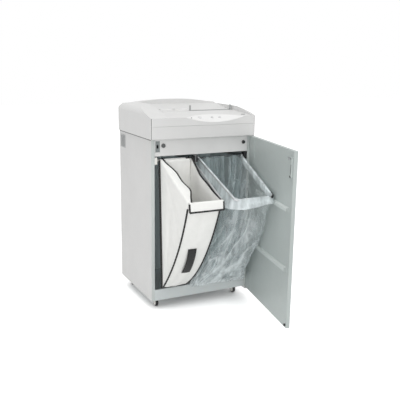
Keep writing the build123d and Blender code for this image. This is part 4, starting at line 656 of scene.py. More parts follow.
class FabricForm(BagForm):
    """The curves and panels of the woven bag."""

    BELLY = (-0.424, 0.377)
    TOE = (-0.244, 0.127)
    HEEL = (-0.230, 0.120)
    RIM_SHIFT = (0.0, -0.005)
    REAR_SHIFT = (-0.0095, 0.003)
    WRAP = 0.006
    LAP = 0.003
    CROWN_GAP = 0.0003
    RIM_WAVE = 0.0025
    TAPER = 0.015
    FOOT_TUCK = 0.022
    HOLLOW = 0.012
    CREASE_PLACE, CREASE_SLOPE, CREASE_WIDTH = (0.25, 0.08), 0.55, 0.05
    PLEATS = 3.2
    RIM_WAVES = 2.3
    FRONT_BULGE = -0.005
    BACK_BULGE = -0.009

    def __init__(self, sizes):
        super().__init__(sizes, "left_bag_frame")
        low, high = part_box("left_bag_frame")
        self.left_rod, self.right_rod = low.x + ROD_RADIUS, high.x - ROD_RADIUS
        self.left, self.right_rim = self.left_rod - self.WRAP, self.right_rod - self.WRAP

    def right(self, down):
        """Right edge of the bag, which narrows towards its foot."""
        return self.right_rim - self.TAPER * down - self.FOOT_TUCK * down ** 9

    def across(self, share, down):
        """Place between the left and right edges."""
        return self.left + (self.right(down) - self.left) * share

    def left_side(self, down, along):
        """A point of the left side, outside its rod."""
        bow = math.sin(math.pi * along)
        crease_along, crease_down = self.CREASE_PLACE
        beside = (along - crease_along) * self.CREASE_SLOPE - (down - crease_down)
        crease = math.exp(-(beside / self.CREASE_WIDTH) ** 2)
        rear_folds = math.sin(TURN * self.PLEATS * along) * math.exp(-along / 0.3)
        soft = ripple(along * 3.1 - 4, down * 2.4)
        hollow = self.HOLLOW * math.sin(math.pi * down) * bow
        free = min(1.0, down / 0.06) * bow
        inward = hollow + self.sizes.fold * (0.5 * crease + 0.6 * rear_folds + soft) * free
        return np.array((self.left + inward, *self.side(along, down)))

    def left_flap(self, over, along):
        """A point of the cloth that lies over the left rod: over from the outer side to the free rim."""
        start = self.left_side(0.0, along)
        if over == 0:
            return start
        draw = self.sizes.left_draw
        bow = math.sin(math.pi * along ** 1.35)
        wave = math.sin(TURN * (self.RIM_WAVES * along - 0.35)) * bow
        inward = (2 * self.WRAP + self.LAP + draw * (bow + 0.14 * wave)) * over
        past = inward - self.WRAP
        rod_z = self.bar[1] + (self.pivot[1] - self.bar[1]) * (1 - along)
        crown = self.WRAP + self.CROWN_GAP
        if past < 0:
            z = rod_z + math.sqrt(max(0.0, crown ** 2 - past ** 2))
        else:
            sag = self.sizes.rim_sag * (past / draw) ** 1.5 * bow
            z = rod_z + crown - sag + self.RIM_WAVE * wave * over
        return np.array((start[0] + inward, start[1], z))

    def right_side(self, down, along):
        """A point of the right side, whose rim lies on its rod."""
        y, z = self.side(along, down)
        bow = math.sin(math.pi * along ** 0.85)
        slack = bow * (1 - down) ** 1.5
        wave = math.sin(TURN * (self.RIM_WAVES * along + 0.35)) * slack * 0.12
        soft = ripple(along * 3.1 + 4, down * 2.4) * bow
        hem = self.WRAP * (1 - down) ** 40
        inward = self.sizes.right_draw * (slack + wave) + self.sizes.fold * soft - hem
        dip = self.sizes.rim_sag * bow * (1 - down) ** 4 - hem
        return np.array((self.right(down) - inward, y, z - dip))

    def panel(self, line, bulge, down, share):
        """A point of the front or back panel: share from left to right, down from rim to bottom."""
        y, z = line(down)
        middle = math.sin(math.pi * share)
        soft = ripple(share * 3.0, down * 5.0 + bulge * 900) * self.sizes.fold
        upright = math.sin(TURN * 2.5 * share + 3 * down) * self.sizes.fold * 0.3
        return np.array((self.across(share, down), y + middle * (bulge + soft + upright), z))

    def front_panel(self, down, share):
        """A point of the front panel."""
        return self.panel(self.front, self.FRONT_BULGE, down, share)

    def back_panel(self, down, share):
        """A point of the back panel."""
        return self.panel(self.back, self.BACK_BULGE, down, share)

    def bottom(self, along, share):
        """A point of the narrow bottom: along from heel to toe."""
        y, z = np.array(self.HEEL) * (1 - along) + np.array(self.TOE) * along
        return np.array((self.across(share, 1.0), y, z))


class SHREDDER_OT_finish_solids(bpy.types.Operator):
    """Gives every solid its finish"""

    bl_idname = "shredder.finish_solids"
    bl_label = "Finish solids"

    def execute(self, context):
        make_finishes(context.scene.shredder_colours)
        for name, nodes in SOLID_FINISHES.items():
            for node in nodes:
                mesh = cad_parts[node].data
                mesh.materials.clear()
                take_finish(mesh, name)
        return {"FINISHED"}


class SHREDDER_OT_fabric_bag(bpy.types.Operator):
    """Hangs the woven bag with its bindings, cuff and strap on the left frame"""

    bl_idname = "shredder.fabric_bag"
    bl_label = "Fabric bag"

    BAR_GAP = ROD_RADIUS + 0.0016
    CUFF_FLARE = 0.006
    CUFF_INSET = 0.0012

    def execute(self, context):
        form = FabricForm(context.scene.shredder_fabric_bag)
        shell, cuff = self.shell(form), self.cuff(form)
        trims = [self.bindings(form), self.strap(form), self.rear_sleeve(form)]
        for piece in (shell, cuff, *trims):
            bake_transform(piece)
        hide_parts("fabric_bag")
        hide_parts("bag_strap")
        self.hangers(form)
        return {"FINISHED"}

    def shell(self, form):
        """The five panels of the bag and the flap over its left rod, joined at their seams."""
        tall, deep, wide, lap, foot = 61, 41, 31, 17, 3
        parts = [
            panel_grid(form.left_side, tall, deep),
            panel_grid(form.left_flap, lap, deep),
            panel_grid(form.right_side, tall, deep),
            panel_grid(form.front_panel, tall, wide),
            panel_grid(form.back_panel, tall, wide),
            panel_grid(form.bottom, foot, wide),
        ]
        piece = make_piece("fabric_bag_shell", *join_parts(parts), "bag_fabric")
        weld(piece)
        thicken(piece, form.sizes.cloth)
        return piece

    def bar_ends(self):
        """Outer ends of the front bar."""
        low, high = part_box("left_bag_frame")
        return low.x + self.CUFF_INSET, high.x - self.CUFF_INSET

    def cuff_face(self, form, share):
        """Depth and height on the cuff's outer face, from the top of the bar down."""
        return form.bar - (self.BAR_GAP + self.CUFF_FLARE * share, form.sizes.cuff * share)

    def cuff(self, form):
        """The cloth turned over the front bar, hanging a little way down its front."""
        gap, columns, tuck, slack = self.BAR_GAP, 41, 0.020, 0.0015
        profile = [(gap, rise) for rise in (-tuck, -tuck / 2, 0.0)]
        profile += [(gap * math.cos(turn), gap * math.sin(turn)) for turn in np.linspace(0.3, math.pi - 0.3, 7)]
        profile += [self.cuff_face(form, share) - form.bar for share in np.linspace(0, 1, 8)]
        points = []
        for offset, rise in profile:
            for share, x in zip(np.linspace(0, 1, columns), np.linspace(*self.bar_ends(), columns)):
                wave = slack * abs(ripple(share * 6, rise * 40)) if offset < 0 else 0.0
                points.append((x, form.bar[0] + offset - wave, form.bar[1] + rise))
        piece = make_piece("fabric_bag_cuff", points, grid_faces(len(profile), columns), "bag_fabric")
        thicken(piece, form.sizes.cloth)
        return piece

    def bindings(self, form):
        """Tape along the seams and rims."""
        sizes = form.sizes
        shares, few = np.linspace(0, 1, 60), np.linspace(0, 1, 30)
        paths = []
        for side, hand in enumerate((-1, 1)):
            lean = hand * RIGHT - BACK
            proud = np.array((hand * 0.001, -0.0015, 0.0))
            paths.append(([proud + (form.across(side, share), *form.front(share)) for share in shares[2:]], lean))
            end = self.bar_ends()[side]
            paths.append(([(end, *self.cuff_face(form, share)) for share in np.linspace(0, 1, 8)], lean))
        upward = UP + 0.4 * BACK
        paths.append(([form.left_flap(1.0, share) for share in shares], upward))
        paths.append(([form.right_side(0.0, share) for share in shares], upward))
        low_edge = self.cuff_face(form, 1.0)
        paths.append(([(x, *low_edge) for x in np.linspace(*self.bar_ends(), 40)], -BACK))
        for along, hand in ((1.0, -1), (0.0, 1)):
            paths.append(([form.bottom(along, share) for share in few], hand * BACK - 0.6 * UP))
        tapes = [sweep(path, sizes.binding_width, sizes.binding_thickness, lift) for path, lift in paths]
        outset = np.array((-0.003, -0.003, 0.0))
        corner = [outset + (form.left, *form.back(share)) for share in shares]
        tapes.append(sweep(corner, sizes.corner_tape, sizes.corner_tape * 0.8, 0.4 * BACK - RIGHT))
        return make_piece("fabric_bag_binding", *join_parts(tapes), "strap_webbing")

    def strap(self, form):
        """The webbing handle on the front panel, standing off in its middle."""
        low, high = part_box("bag_strap")
        rows, columns, thickness = 30, 9, 0.0022
        seam_gap, bow, lean = 0.0028, 0.0075, 0.011
        away = np.array((0.0, -0.8, -0.6))
        shares = [share for share in np.linspace(0, 1, 400) if low.z <= form.front(share)[1] <= high.z]
        points = []
        for step, down in zip(np.linspace(0, 1, rows), np.linspace(shares[0], shares[-1], rows)):
            stand = seam_gap + bow * max(0.0, math.sin(math.pi * step)) ** 0.8
            middle = (low.x + high.x) / 2 + lean * (step - 0.5)
            for place in np.linspace(-0.5, 0.5, columns):
                x = middle + (high.x - low.x) * place
                share = (x - form.left) / (form.right(down) - form.left)
                points.append(form.front_panel(down, share) + away * stand)
        piece = make_piece("fabric_bag_strap", points, grid_faces(rows, columns), "strap_webbing")
        thicken(piece, thickness)
        return piece

    def rear_sleeve(self, form):
        """The hem of the back panel around the pivot rod."""
        inset, width = 0.024, 2 * ROD_RADIUS + 0.0045
        path = [(x, *form.pivot) for x in np.linspace(form.left + inset, form.right_rim - inset, 30)]
        return make_piece("fabric_bag_rear_hem", *sweep(path, width, width, UP, sides=18), "bag_fabric")

    def hangers(self, form):
        """Black loops that hold the rear corners to the pivot rod."""
        inset, radius, drop = 0.012, 0.0075, 0.016
        width, thickness = 0.0095, 0.0024
        y, z = form.pivot
        for name, x in (("left", form.left_rod + inset), ("right", form.right_rod - inset)):
            turns = np.linspace(0, TURN, 25)
            ring = [(x, y + radius * math.cos(turn), z + radius * math.sin(turn)) for turn in turns]
            tail = [(x, y - radius, z - fall) for fall in np.linspace(0.0, drop, 6)]
            loops = [sweep(path, width, thickness, lift) for path, lift in ((ring, RIGHT), (tail, -BACK))]
            fit_piece("left_slide", f"fabric_bag_hanger_{name}", loops, "strap_webbing")


class FilmForm(BagForm):
    """The rim, profile and creases of the clear bag."""

    BELLY = (-0.440, 0.350)
    TOE = (-0.276, 0.1110)
    HEEL = (-0.208, 0.1095)
    RIM_SHIFT = (0.001, -0.005)
    REAR_SHIFT = (-0.0068, 0.004)
    TOE_IN = 0.0425
    ROD_CLEAR = 0.003
    TAUT_SHARE = 0.2
    SLUMP_FROM = 0.35
    CRUMPLE_FROM = 0.5
    BACK_FROM = 0.8
    SHARPNESS = 4.5
    STRANDS = ((0.86, 0.25), (0.45, 0.9))

    def __init__(self, sizes):
        super().__init__(sizes, "right_bag_frame")
        low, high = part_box("film_bag")
        self.left, self.right = low.x + self.ROD_CLEAR, high.x - self.ROD_CLEAR
        self.front_right = self.right - self.TOE_IN

    def edges(self, along):
        """Left and right x of the rim at a share from back to front."""
        return self.left, self.right + (self.front_right - self.right) * along

    def ring(self, turn):
        """A point on the unit square, at an even share of the way round."""
        side, step = divmod(4 * turn, 1)
        walk = 2 * step - 1
        return ((walk, -1.0), (1.0, walk), (-walk, 1.0), (-1.0, -walk))[int(side)]

    def place(self, turn, down, shrink):
        """A point of the bag and its outward direction: down is the share from rim to bottom."""
        across, along = self.ring(turn)
        blunt = 14.0 - 10.0 * min(1.0, down * 1.6)
        scale = shrink / (abs(across) ** blunt + abs(along) ** blunt) ** (1 / blunt)
        across, along = across * scale, along * scale
        depth = (1 - along) / 2
        left, right = self.edges(depth * (1 - 0.6 * down))
        x = (left + right) / 2 + across * (right - left) / 2
        slump = past(down, self.SLUMP_FROM) ** 1.6
        spread = self.sizes.left_spread if across < 0 else self.sizes.right_spread
        x += across * spread * slump
        x += max(0.0, across) * self.sizes.belly * depth * math.sin(math.pi * min(1.0, down / 0.95))
        return np.array((x, *self.side(depth, down))), np.array((across, along, 0.0))

    def creased(self, turn, down, shrink=1.0):
        """The same point pushed in and out by creases, and how hazy the film is there, which also stands in as painted
        highlight along the creases.
        """
        point, out = self.place(turn, down, shrink)
        across, along = self.ring(turn)
        drift = 0.9 * ripple(across * 0.9, along * 0.9, down * 2.0)
        fold = ripple(across * 1.35 + drift, along * 1.35 - drift, down * 1.3)
        sharp = ripple(across * 2.9 - drift, along * 2.9 + 2 * drift, down * 2.1 + 5.0)
        coarse = ripple(*(point * 17))
        fine = ripple(*(point * 40 + 9))
        long_crease = 0.9 * self.ridge(fold) + 0.35 * self.ridge(sharp)
        crumple = self.ridge(coarse) + 0.5 * self.ridge(fine)
        taut = min(1.0, down / self.TAUT_SHARE)
        low = past(down, self.CRUMPLE_FROM)
        push = -self.sizes.crease * long_crease * taut * (1 - 0.5 * low) - self.sizes.crumple * crumple * low * 0.8
        lift = max(0.0, 0.35 * self.sizes.crumple * crumple * low)
        haze = taut * (self.crest(fold) + 0.6 * self.crest(sharp))
        haze += low * (0.8 * self.crest(coarse) + 0.2 * self.crest(fine))
        if along < -0.5:
            haze += self.strand_haze_and_highlight(across, down)
        return point + out * push + UP * lift, min(1.0, haze)

    def rear(self, turn):
        """One on the bag's back wall, where the film takes painted shade, falling to nothing round its corners."""
        _, along = self.ring(turn)
        return past(along, self.BACK_FROM)

    def strand_haze_and_highlight(self, across, down):
        """White that runs down from the front left corner, partly the gathered film's own haze and partly painted
        highlight.
        """
        spread = 0.10 + 0.25 * down
        lines = (math.exp(-(((across + line - bend * down) / spread) ** 2)) for line, bend in self.STRANDS)
        return 0.9 * max(lines) * max(0.0, 1 - 1.25 * down) * (0.7 + 0.6 * ripple(across * 6.0, down * 1.5))

    def ridge(self, value):
        """One on the line of a crease, falling below nought away from it."""
        return 1 - 2.6 * abs(value)

    def crest(self, value):
        """One on the line of a crease, falling off quickly beside it."""
        return max(0.0, 1 - self.SHARPNESS * abs(value)) ** 2


class SHREDDER_OT_film_bag(bpy.types.Operator):
    """Hangs the clear bag and its turned-over collar on the right frame"""

    bl_idname = "shredder.film_bag"
    bl_label = "Film bag"

    ROD_GAP = ROD_RADIUS + 0.0020
    LEFT_EXTRA = 1.2
    LEFT_FLARE = 1.6
    RIGHT_LESS = 0.55
    TAUT_ROWS = 3
    HANGING_ROWS = 10

    def execute(self, context):
        form = FilmForm(context.scene.shredder_film_bag)
        body, collar = self.body(form), self.collar(form)
        for piece in (body, collar):
            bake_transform(piece)
        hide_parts("film_bag")
        return {"FINISHED"}

    def body(self, form):
        """The film from the rim down to its crumpled bottom, with its haze, which is partly painted highlight, and its
        back wall, which takes painted shade, noted.
        """
        around, tall, foot = 340, 120, 10
        turns = [turn / around for turn in range(around)]
        rows = [(row / (tall - 1), 1.0) for row in range(tall)]
        rows += [(1.0, 1 - 0.93 * row / (foot - 1)) for row in range(1, foot)]
        places = [form.creased(turn, down, shrink) for down, shrink in rows for turn in turns]
        points, haze = zip(*places)
        piece = make_piece("film_bag_body", points, grid_faces(len(rows), around, closed=True), "bag_film")
        for name, values in (("haze", haze), ("rear", [form.rear(turn) for turn in turns] * len(rows))):
            layer = piece.data.attributes.new(name, "FLOAT", "POINT")
            layer.data.foreach_set("value", values)
        return piece

    def collar_path(self, form):
        """Places along the left arm, the front bar and the right arm, each with its outward direction."""
        corner, clear = 0.014, 0.002
        rear, front = form.pivot[0] - 0.010, form.bar[0]
        left, right, front_right = form.left - clear, form.right + clear, form.front_right + clear
        corners = [np.array(spot) for spot in ((left, rear), (left, front), (front_right, front), (right, rear))]
        path = []
        for start, end, count, skip, stop in zip(corners, corners[1:], (70, 60, 70), (0.0, corner, corner), (1, 1, 0)):
            reach = np.linalg.norm(end - start)
            way = (end - start) / reach
            for step in np.linspace(skip, reach - corner * stop, count):
                path.append((start + way * step, np.array((way[1], -way[0]))))
        return path

    def collar(self, form):
        """The film turned over the two arms and the front bar."""
        path = self.collar_path(form)
        (left, rear), (right, _) = path[0][0], path[-1][0]
        front = form.bar[0]
        gap = self.ROD_GAP
        profile = [(-gap, -0.022), (-gap, -0.010), (-gap, 0.0)]
        profile += [(-gap * math.cos(turn), gap * math.sin(turn)) for turn in np.linspace(0.35, math.pi - 0.35, 6)]
        outside = len(profile)
        profile += [(gap + 0.0004 * n, -n / (self.HANGING_ROWS - 1)) for n in range(self.HANGING_ROWS)]
        points = []
        for order, (reach, rise) in enumerate(profile):
            for place, (spot, out) in enumerate(path):
                wave = ripple(place * 0.085, order * 0.22)
                rear_share = 1 - ((rear - spot[1]) / (rear - front)) ** 3 if out[0] < -0.5 else 0.0
                right_share = past((spot[0] - left) / (right - left), 0.35)
                longer = 1 + self.LEFT_EXTRA * rear_share - self.RIGHT_LESS * right_share
                drop = form.sizes.collar * longer * (1 + 0.30 * ripple(place * 0.04, 3.0))
                hang = max(0, order - outside - self.TAUT_ROWS)
                stand = reach + 0.0016 * hang * (1 + self.LEFT_FLARE * rear_share + 1.2 * wave)
                rod_z = form.pivot[1] - (form.pivot[0] - spot[1]) * math.tan(form.tilt)
                points.append((*(spot + out * stand), rod_z + (rise * drop if order >= outside else rise)))
        return make_piece("film_bag_collar", points, grid_faces(len(profile), len(path)), "collar_film", "bag_film")


def door_spot(along, stand, height):
    """A point on the open door: along it from the hinge, out from its middle and up."""
    return DOOR_HINGE + DOOR_WAY * along + DOOR_OUT * stand + UP * height


def mark_frame(body):
    """Centre of a button's top, the ways to its right, its front and out of it, from its solid and the head's slope."""
    node, lift = f"{body}_button", 0.00015
    outward = np.array((0.0, -0.34202, 0.93969))
    low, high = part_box(node)
    centre = np.array((low + high)) / 2
    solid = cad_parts[node]
    corners = np.array([solid.matrix_world @ vertex.co for vertex in solid.data.vertices])
    height = np.max((corners - centre) @ outward)
    return centre + outward * (height + lift), RIGHT, np.cross(RIGHT, outward), outward


PRINT_CROWN = 0.00012


def flat_ring(centre, first, second, outward, radius, stroke, start=0.0, end=TURN):
    """A thin printed ring or arc."""
    steps = 40
    points = []
    for turn in np.linspace(start, end, steps):
        ray = first * math.cos(turn) + second * math.sin(turn)
        for share in (-0.5, 0.0, 0.5):
            points.append(centre + ray * (radius + stroke * share) + outward * (0.0 if share else PRINT_CROWN))
    return points, grid_faces(steps, 3)


def flat_bar(centre, way, side, outward, reach, stroke):
    """A thin printed stroke with rounded ends."""
    steps = 12
    points = []
    for place in np.linspace(-1, 1, steps):
        width = stroke * math.sqrt(max(0.05, 1 - place ** 8))
        for share in (-0.5, 0.0, 0.5):
            lift = outward * (0.0 if share else PRINT_CROWN)
            points.append(centre + way * reach * place + side * width * share + lift)
    return points, grid_faces(steps, 3)


class SHREDDER_OT_button_marks(bpy.types.Operator):
    """Prints plain stop and reverse marks on the small buttons and a ring on the large one"""

    bl_idname = "shredder.button_marks"
    bl_label = "Button marks"

    def execute(self, context):
        stroke = context.scene.shredder_trim.mark_stroke
        for body, radius in (("start", 0.0068), ("stop", 0.0042), ("reverse", 0.0042)):
            parts = self.mark(body, radius, stroke)
            fit_piece(body, f"{body}_mark", parts, "button_mark", "button_white")
        return {"FINISHED"}

    def mark(self, body, radius, stroke):
        """A thin ring, an open ring with a bar in its gap, or an arc with an arrowhead."""
        spot = mark_frame(body)
        centre, right, front, outward = spot
        if body == "start":
            return [flat_ring(*spot, radius, stroke * 0.5)]
        if body == "stop":
            bar = flat_bar(centre + front * radius * 0.6, front, right, outward, radius * 0.55, stroke)
            return [flat_ring(*spot, radius, stroke, 0.75 * math.pi, 2.25 * math.pi), bar]
        parts = [flat_ring(*spot, radius, stroke, -0.6 * math.pi, 0.9 * math.pi)]
        tip = centre - right * radius * 0.95 + front * radius * 0.25
        for lean in (0.9, -0.5):
            way = right * math.sin(lean) + front * math.cos(lean)
            side = right * math.cos(lean) - front * math.sin(lean)
            parts.append(flat_bar(tip + way * radius * 0.3, way, side, outward, radius * 0.38, stroke * 0.8))
        return parts


class SHREDDER_OT_trim(bpy.types.Operator):
    """Adds the head's joints, a dark strip of painted shade under the head's edge, the lock's trim, the frame's corner
    cap, the vent's filter, hubs and screws, with dark marks of painted shade in the lock's and screws' recesses
    """

    bl_idname = "shredder.trim"
    bl_label = "Trim"

    KEY_RING = ((0.0110, -0.0002), (0.0110, 0.0010), (0.0098, 0.0018), (0.0082, 0.0018), (0.0076, 0.0004))
    KEY_PLUG = ((0.0074, 0.0002), (0.0074, 0.0010), (0.0068, 0.0013), (0.0004, 0.0013))
    HUB = (
        (0.0152, -0.0004), (0.0152, 0.0003), (0.0136, 0.0006), (0.0070, 0.0004), (0.0062, 0.0006), (0.0020, 0.0006),
    )

    def execute(self, context):
        sizes = context.scene.shredder_trim
        self.head_joints(sizes)
        self.corner_cap()
        self.head_gasket()
        self.lock_lever()
        self.key_face()
        self.vent_filter()
        self.hubs()
        self.screws(sizes)
        return {"FINISHED"}

    def head_joints(self, sizes):
        """Dark joint lines between the head's front and its ends."""
        low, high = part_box("head_cover")
        corner, turn, brow = 0.014, math.radians(48), 0.9195
        sunk = corner * (1 - math.sin(turn))
        y = low.y + corner * (1 - math.cos(turn))
        for name, edge, hand in (("left", low.x, -1), ("right", high.x, 1)):
            path = [(edge - hand * sunk, y, z) for z in np.linspace(low.z + 0.001, brow, 14)]
            tape = sweep(path, sizes.seam, 0.0012, hand * RIGHT - BACK, sides=8)
            fit_piece("cabinet", f"head_joint_{name}", [tape], "black_plastic")

    def head_gasket(self):
        """A dark strip on both sides of the cabinet just under the head's edge, as painted shade for the shadow gap
        under the head's overhang.
        """
        low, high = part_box("cabinet_shell")
        inset, drop, width, thickness = 0.004, 0.0036, 0.0066, 0.0010
        strips = []
        for edge, hand in ((low.x, -1), (high.x, 1)):
            # The strip is painted shade in the joint under the head's edge.
            x, z = edge + hand * 0.0002, high.z - drop
            path = [(x, y, z) for y in np.linspace(low.y + inset, high.y - inset, 12)]
            strips.append(sweep(path, width, thickness, hand * RIGHT, sides=8))
        fit_piece("cabinet", "head_gasket", strips, "rubber_grey")

    def corner_cap(self):
        """The dark cap over the right frame's front corner, which holds the film."""
        (bar_y, bar_z), tilt = frame_rim("right_bag_frame")[1:]
        corner_x, bend, arm, width = 0.178, 0.014, 0.030, 0.0108
        flat = [(corner_x + back * 0.11, back) for back in np.linspace(arm, bend, 6)]
        for turn in np.linspace(0, math.pi / 2, 8)[1:]:
            flat.append((corner_x - bend * (1 - math.cos(turn)), bend * (1 - math.sin(turn))))
        flat += [(corner_x - bend - step, 0.0) for step in (0.006, 0.012)]
        path = [(x, bar_y + back, bar_z + back * math.tan(tilt)) for x, back in flat]
        tube = sweep(path, width, width, UP + 0.3 * BACK, sides=16)
        fit_piece("right_frame", "right_frame_corner_cap", [tube], "black_plastic")

    def lock_lever(self):
        """The lock's thin lever slot and its screw, both dark marks of painted shade in the recessed lock, and its
        black hook on the door's inner side.
        """
        face = -0.0162
        # The slot and keyhole are dark marks of painted shade in the recessed lock.
        slot = [door_spot(0.4985 - 0.004 * share, face, 0.765 - 0.042 * share) for share in np.linspace(0, 1, 12)]
        hook = [door_spot(0.4905, face, 0.7165), door_spot(0.4945, face, 0.7135), door_spot(0.4990, face, 0.7112)]
        keyhole_shade = [door_spot(0.4950, face, height) for height in np.linspace(0.7865, 0.7915, 5)]
        shapes = ((slot, 0.0030, 0.0012), (hook, 0.0065, 0.0040), (keyhole_shade, 0.0040, 0.0012))
        fit_piece("door", "door_lock_lever", [sweep(*shape, -DOOR_OUT) for shape in shapes], "black_plastic")

    def key_face(self):
        """The lock's ring on the door's outer side, with a slotted plug that turns with the latch; the slot is a dark
        mark of painted shade.
        """
        centre = door_spot(0.486, 0.008, 0.790)
        ring, plug = (lathe(centre, -DOOR_WAY, UP, DOOR_OUT, rings, 32) for rings in (self.KEY_RING, self.KEY_PLUG))
        # The plug's slot is a flat dark mark of painted shade.
        slot = flat_bar(centre + DOOR_OUT * 0.0014, UP, DOOR_WAY, DOOR_OUT, 0.0045, 0.0018)
        fit_piece("door", "door_key_ring", [ring], "plated_steel")
        fit_piece("latch", "door_key_plug", [plug], "plated_steel")
        fit_piece("latch", "door_key_slot", [slot], "black_plastic")

    def vent_filter(self):
        """A pleated filter behind the vent's slots."""
        low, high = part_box("side_vent_grille")
        margin, depth, columns = 0.004, 0.0010, 73
        points = []
        for z in (low.z + margin, high.z - margin):
            for place, y in enumerate(np.linspace(low.y + margin, high.y - margin, columns)):
                points.append((high.x - 0.0012 + depth * (place % 2), y, z))
        fit_piece("cabinet", "side_vent_filter", [(points, grid_faces(2, columns))], "throat_grey")

    def hubs(self):
        """Pale hub caps on both faces of each wheel."""
        for corner in CORNERS:
            low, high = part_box(f"caster_wheel_{corner}")
            _, y, z = (low + high) / 2
            caps = [
                lathe(np.array((x, y, z)), BACK, UP, hand * RIGHT, self.HUB, 28)
                for x, hand in ((low.x, -1), (high.x, 1))
            ]
            fit_piece(f"wheel_{corner}", f"caster_hub_{corner}", caps, "nylon_white")

    def screws(self, sizes):
        """Flush countersunk screws around the back wall, each with a dark cross of painted shade for its recess."""
        low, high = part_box("cabinet_shell")
        inset, sunk = 0.022, 0.00008
        left, right = low.x + inset, high.x - inset
        places = [(x, z) for x in (left, (low.x + high.x) / 2, right) for z in (low.z + inset, high.z - inset)]
        places += [(x, z) for z in np.linspace(low.z, high.z, 4)[1:-1] for x in (left, right)]
        heads, recess_shades = [], []
        for x, z in places:
            spot = np.array((x, high.y, z))
            heads.append(flat_ring(spot, RIGHT, UP, BACK, sizes.screw / 2, sizes.screw))
            # Each recess is a flat dark cross of painted shade.
            for way, side in ((RIGHT, UP), (UP, RIGHT)):
                recess_shades.append(flat_bar(spot + BACK * sunk, way, side, BACK, sizes.screw * 0.5, sizes.screw * 0.24))
        fit_piece("cabinet", "cabinet_screws", heads, "plated_steel")
        fit_piece("cabinet", "cabinet_screw_recesses", recess_shades, "black_plastic")


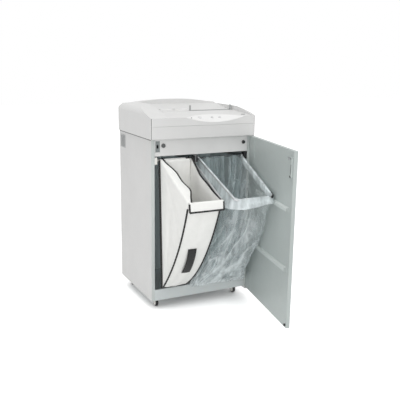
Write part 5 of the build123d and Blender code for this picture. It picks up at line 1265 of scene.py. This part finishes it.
class SHREDDER_OT_stage(bpy.types.Operator):
    """Sets the floor, the studio light and the camera"""

    bl_idname = "shredder.stage"
    bl_label = "Stage"

    TARGET = Vector((0.0, -0.15, 0.5))

    def execute(self, context):
        look = context.scene.shredder_stage
        self.floor(context.scene.shredder_colours.floor, look)
        self.world(context, look)
        self.lamp("key_lamp", Vector((-1.6, -4.4, 1.5)), 3.2, look.key)
        self.lamp("top_lamp", Vector((-0.3, -0.9, 3.5)), 2.6, look.top)
        self.lamp("side_lamp", Vector((-3.8, -1.4, 1.5)), 2.6, look.side)
        self.camera(context, look)
        context.scene.view_settings.view_transform = "Standard"
        return {"FINISHED"}

    def floor(self, shade, look):
        """A wide pale floor that keeps the shadow, with a glow for the camera that ambient occlusion takes away near
        the cabinet, painting a shadow under it.
        """
        reach, shaded, unshaded, least_lift = 12.0, 0.18, 0.64, 0.05
        mesh = bpy.data.meshes.new("studio_floor")
        corners = [(-reach, -reach, 0), (reach, -reach, 0), (reach, reach, 0), (-reach, reach, 0)]
        mesh.from_pydata(corners, [], [(0, 1, 2, 3)])
        material = bpy.data.materials.new("studio_floor")
        material.use_nodes = True
        nodes = Nodes(material.node_tree)
        nodes.tree.nodes.clear()
        matte = nodes.node("ShaderNodeBsdfDiffuse", {"Color": (*shade, 1.0)}).outputs["BSDF"]
        # Ambient occlusion cuts the camera-seen glow near the cabinet, painting a shadow on the floor under it.
        occlusion_for_painted_shadow = nodes.node("ShaderNodeAmbientOcclusion", {"Distance": look.painted_shadow_reach}).outputs["AO"]
        lift = nodes.span(occlusion_for_painted_shadow, least_lift, look.floor_lift, shaded, unshaded)
        level = nodes.calc("MULTIPLY", nodes.seen(), lift)
        glow = nodes.node("ShaderNodeEmission", {"Strength": level}).outputs["Emission"]
        both = nodes.node("ShaderNodeAddShader", {0: matte, 1: glow}).outputs["Shader"]
        nodes.node("ShaderNodeOutputMaterial", {"Surface": both})
        mesh.materials.append(material)
        add_object("studio_floor", mesh)

    def world(self, context, look):
        """White behind the object, and an even soft light from all round."""
        world = bpy.data.worlds.new("studio")
        context.scene.world = world
        world.use_nodes = True
        nodes = Nodes(world.node_tree)
        sky = nodes.tree.nodes["Background"]
        nodes.feed(sky.inputs["Color"], (1.0, 1.0, 1.0, 1.0))
        nodes.feed(sky.inputs["Strength"], nodes.span(nodes.seen(), look.ambient, 1.0, 0.0, 1.0))

    def lamp(self, name, place, size, power):
        """A large square lamp turned to the object."""
        light = bpy.data.lights.new(name, "AREA")
        light.shape = "SQUARE"
        light.size = size
        light.energy = power
        lamp = add_object(name, light)
        lamp.location = place
        lamp.rotation_euler = (self.TARGET - place).to_track_quat("-Z", "Y").to_euler()

    def camera(self, context, look):
        """The camera at the photograph's angle."""
        level = math.cos(look.pitch)
        ahead = Vector((math.sin(look.yaw) * level, math.cos(look.yaw) * level, -math.sin(look.pitch)))
        right = Vector((math.cos(look.yaw), -math.sin(look.yaw), 0.0))
        up = right.cross(ahead)
        leaned_right = right * math.cos(look.roll) + up * math.sin(look.roll)
        leaned_up = up * math.cos(look.roll) - right * math.sin(look.roll)
        eye = bpy.data.cameras.new("studio_camera")
        eye.lens = look.lens
        eye.sensor_width = 36.0
        camera = add_object("studio_camera", eye)
        turn = Matrix((leaned_right, leaned_up, -ahead)).transposed().to_4x4()
        camera.matrix_world = Matrix.Translation(look.eye) @ turn
        context.scene.camera = camera


OPERATORS = (
    SHREDDER_OT_finish_solids,
    SHREDDER_OT_fabric_bag,
    SHREDDER_OT_film_bag,
    SHREDDER_OT_button_marks,
    SHREDDER_OT_trim,
    SHREDDER_OT_stage,
)


class SHREDDER_PT_panel(bpy.types.Panel):
    """Lists the steps that dress the shredder"""

    bl_idname = "SHREDDER_PT_panel"
    bl_label = "Cabinet Shredder"
    bl_space_type = "VIEW_3D"
    bl_region_type = "UI"
    bl_category = "Shredder"

    def draw(self, context):
        for operator in OPERATORS:
            self.layout.operator(operator.bl_idname)


SETTINGS = {
    "shredder_colours": ShredderColours,
    "shredder_fabric_bag": FabricBagSizes,
    "shredder_film_bag": FilmBagSizes,
    "shredder_trim": TrimSizes,
    "shredder_stage": StageLook,
}


def register():
    """Registers the settings, steps and panel."""
    for name, group in SETTINGS.items():
        bpy.utils.register_class(group)
        setattr(bpy.types.Scene, name, PointerProperty(type=group))
    for operator in (*OPERATORS, SHREDDER_PT_panel):
        bpy.utils.register_class(operator)


def unregister():
    """Takes the panel, steps and settings away again."""
    for operator in (SHREDDER_PT_panel, *reversed(OPERATORS)):
        bpy.utils.unregister_class(operator)
    for name, group in reversed(SETTINGS.items()):
        delattr(bpy.types.Scene, name)
        bpy.utils.unregister_class(group)


def main():
    """Dresses the shredder."""
    register()
    bpy.ops.shredder.finish_solids()
    bpy.ops.shredder.fabric_bag()
    bpy.ops.shredder.film_bag()
    bpy.ops.shredder.button_marks()
    bpy.ops.shredder.trim()
    bpy.ops.shredder.stage()


if __name__ == "__main__":
    main()
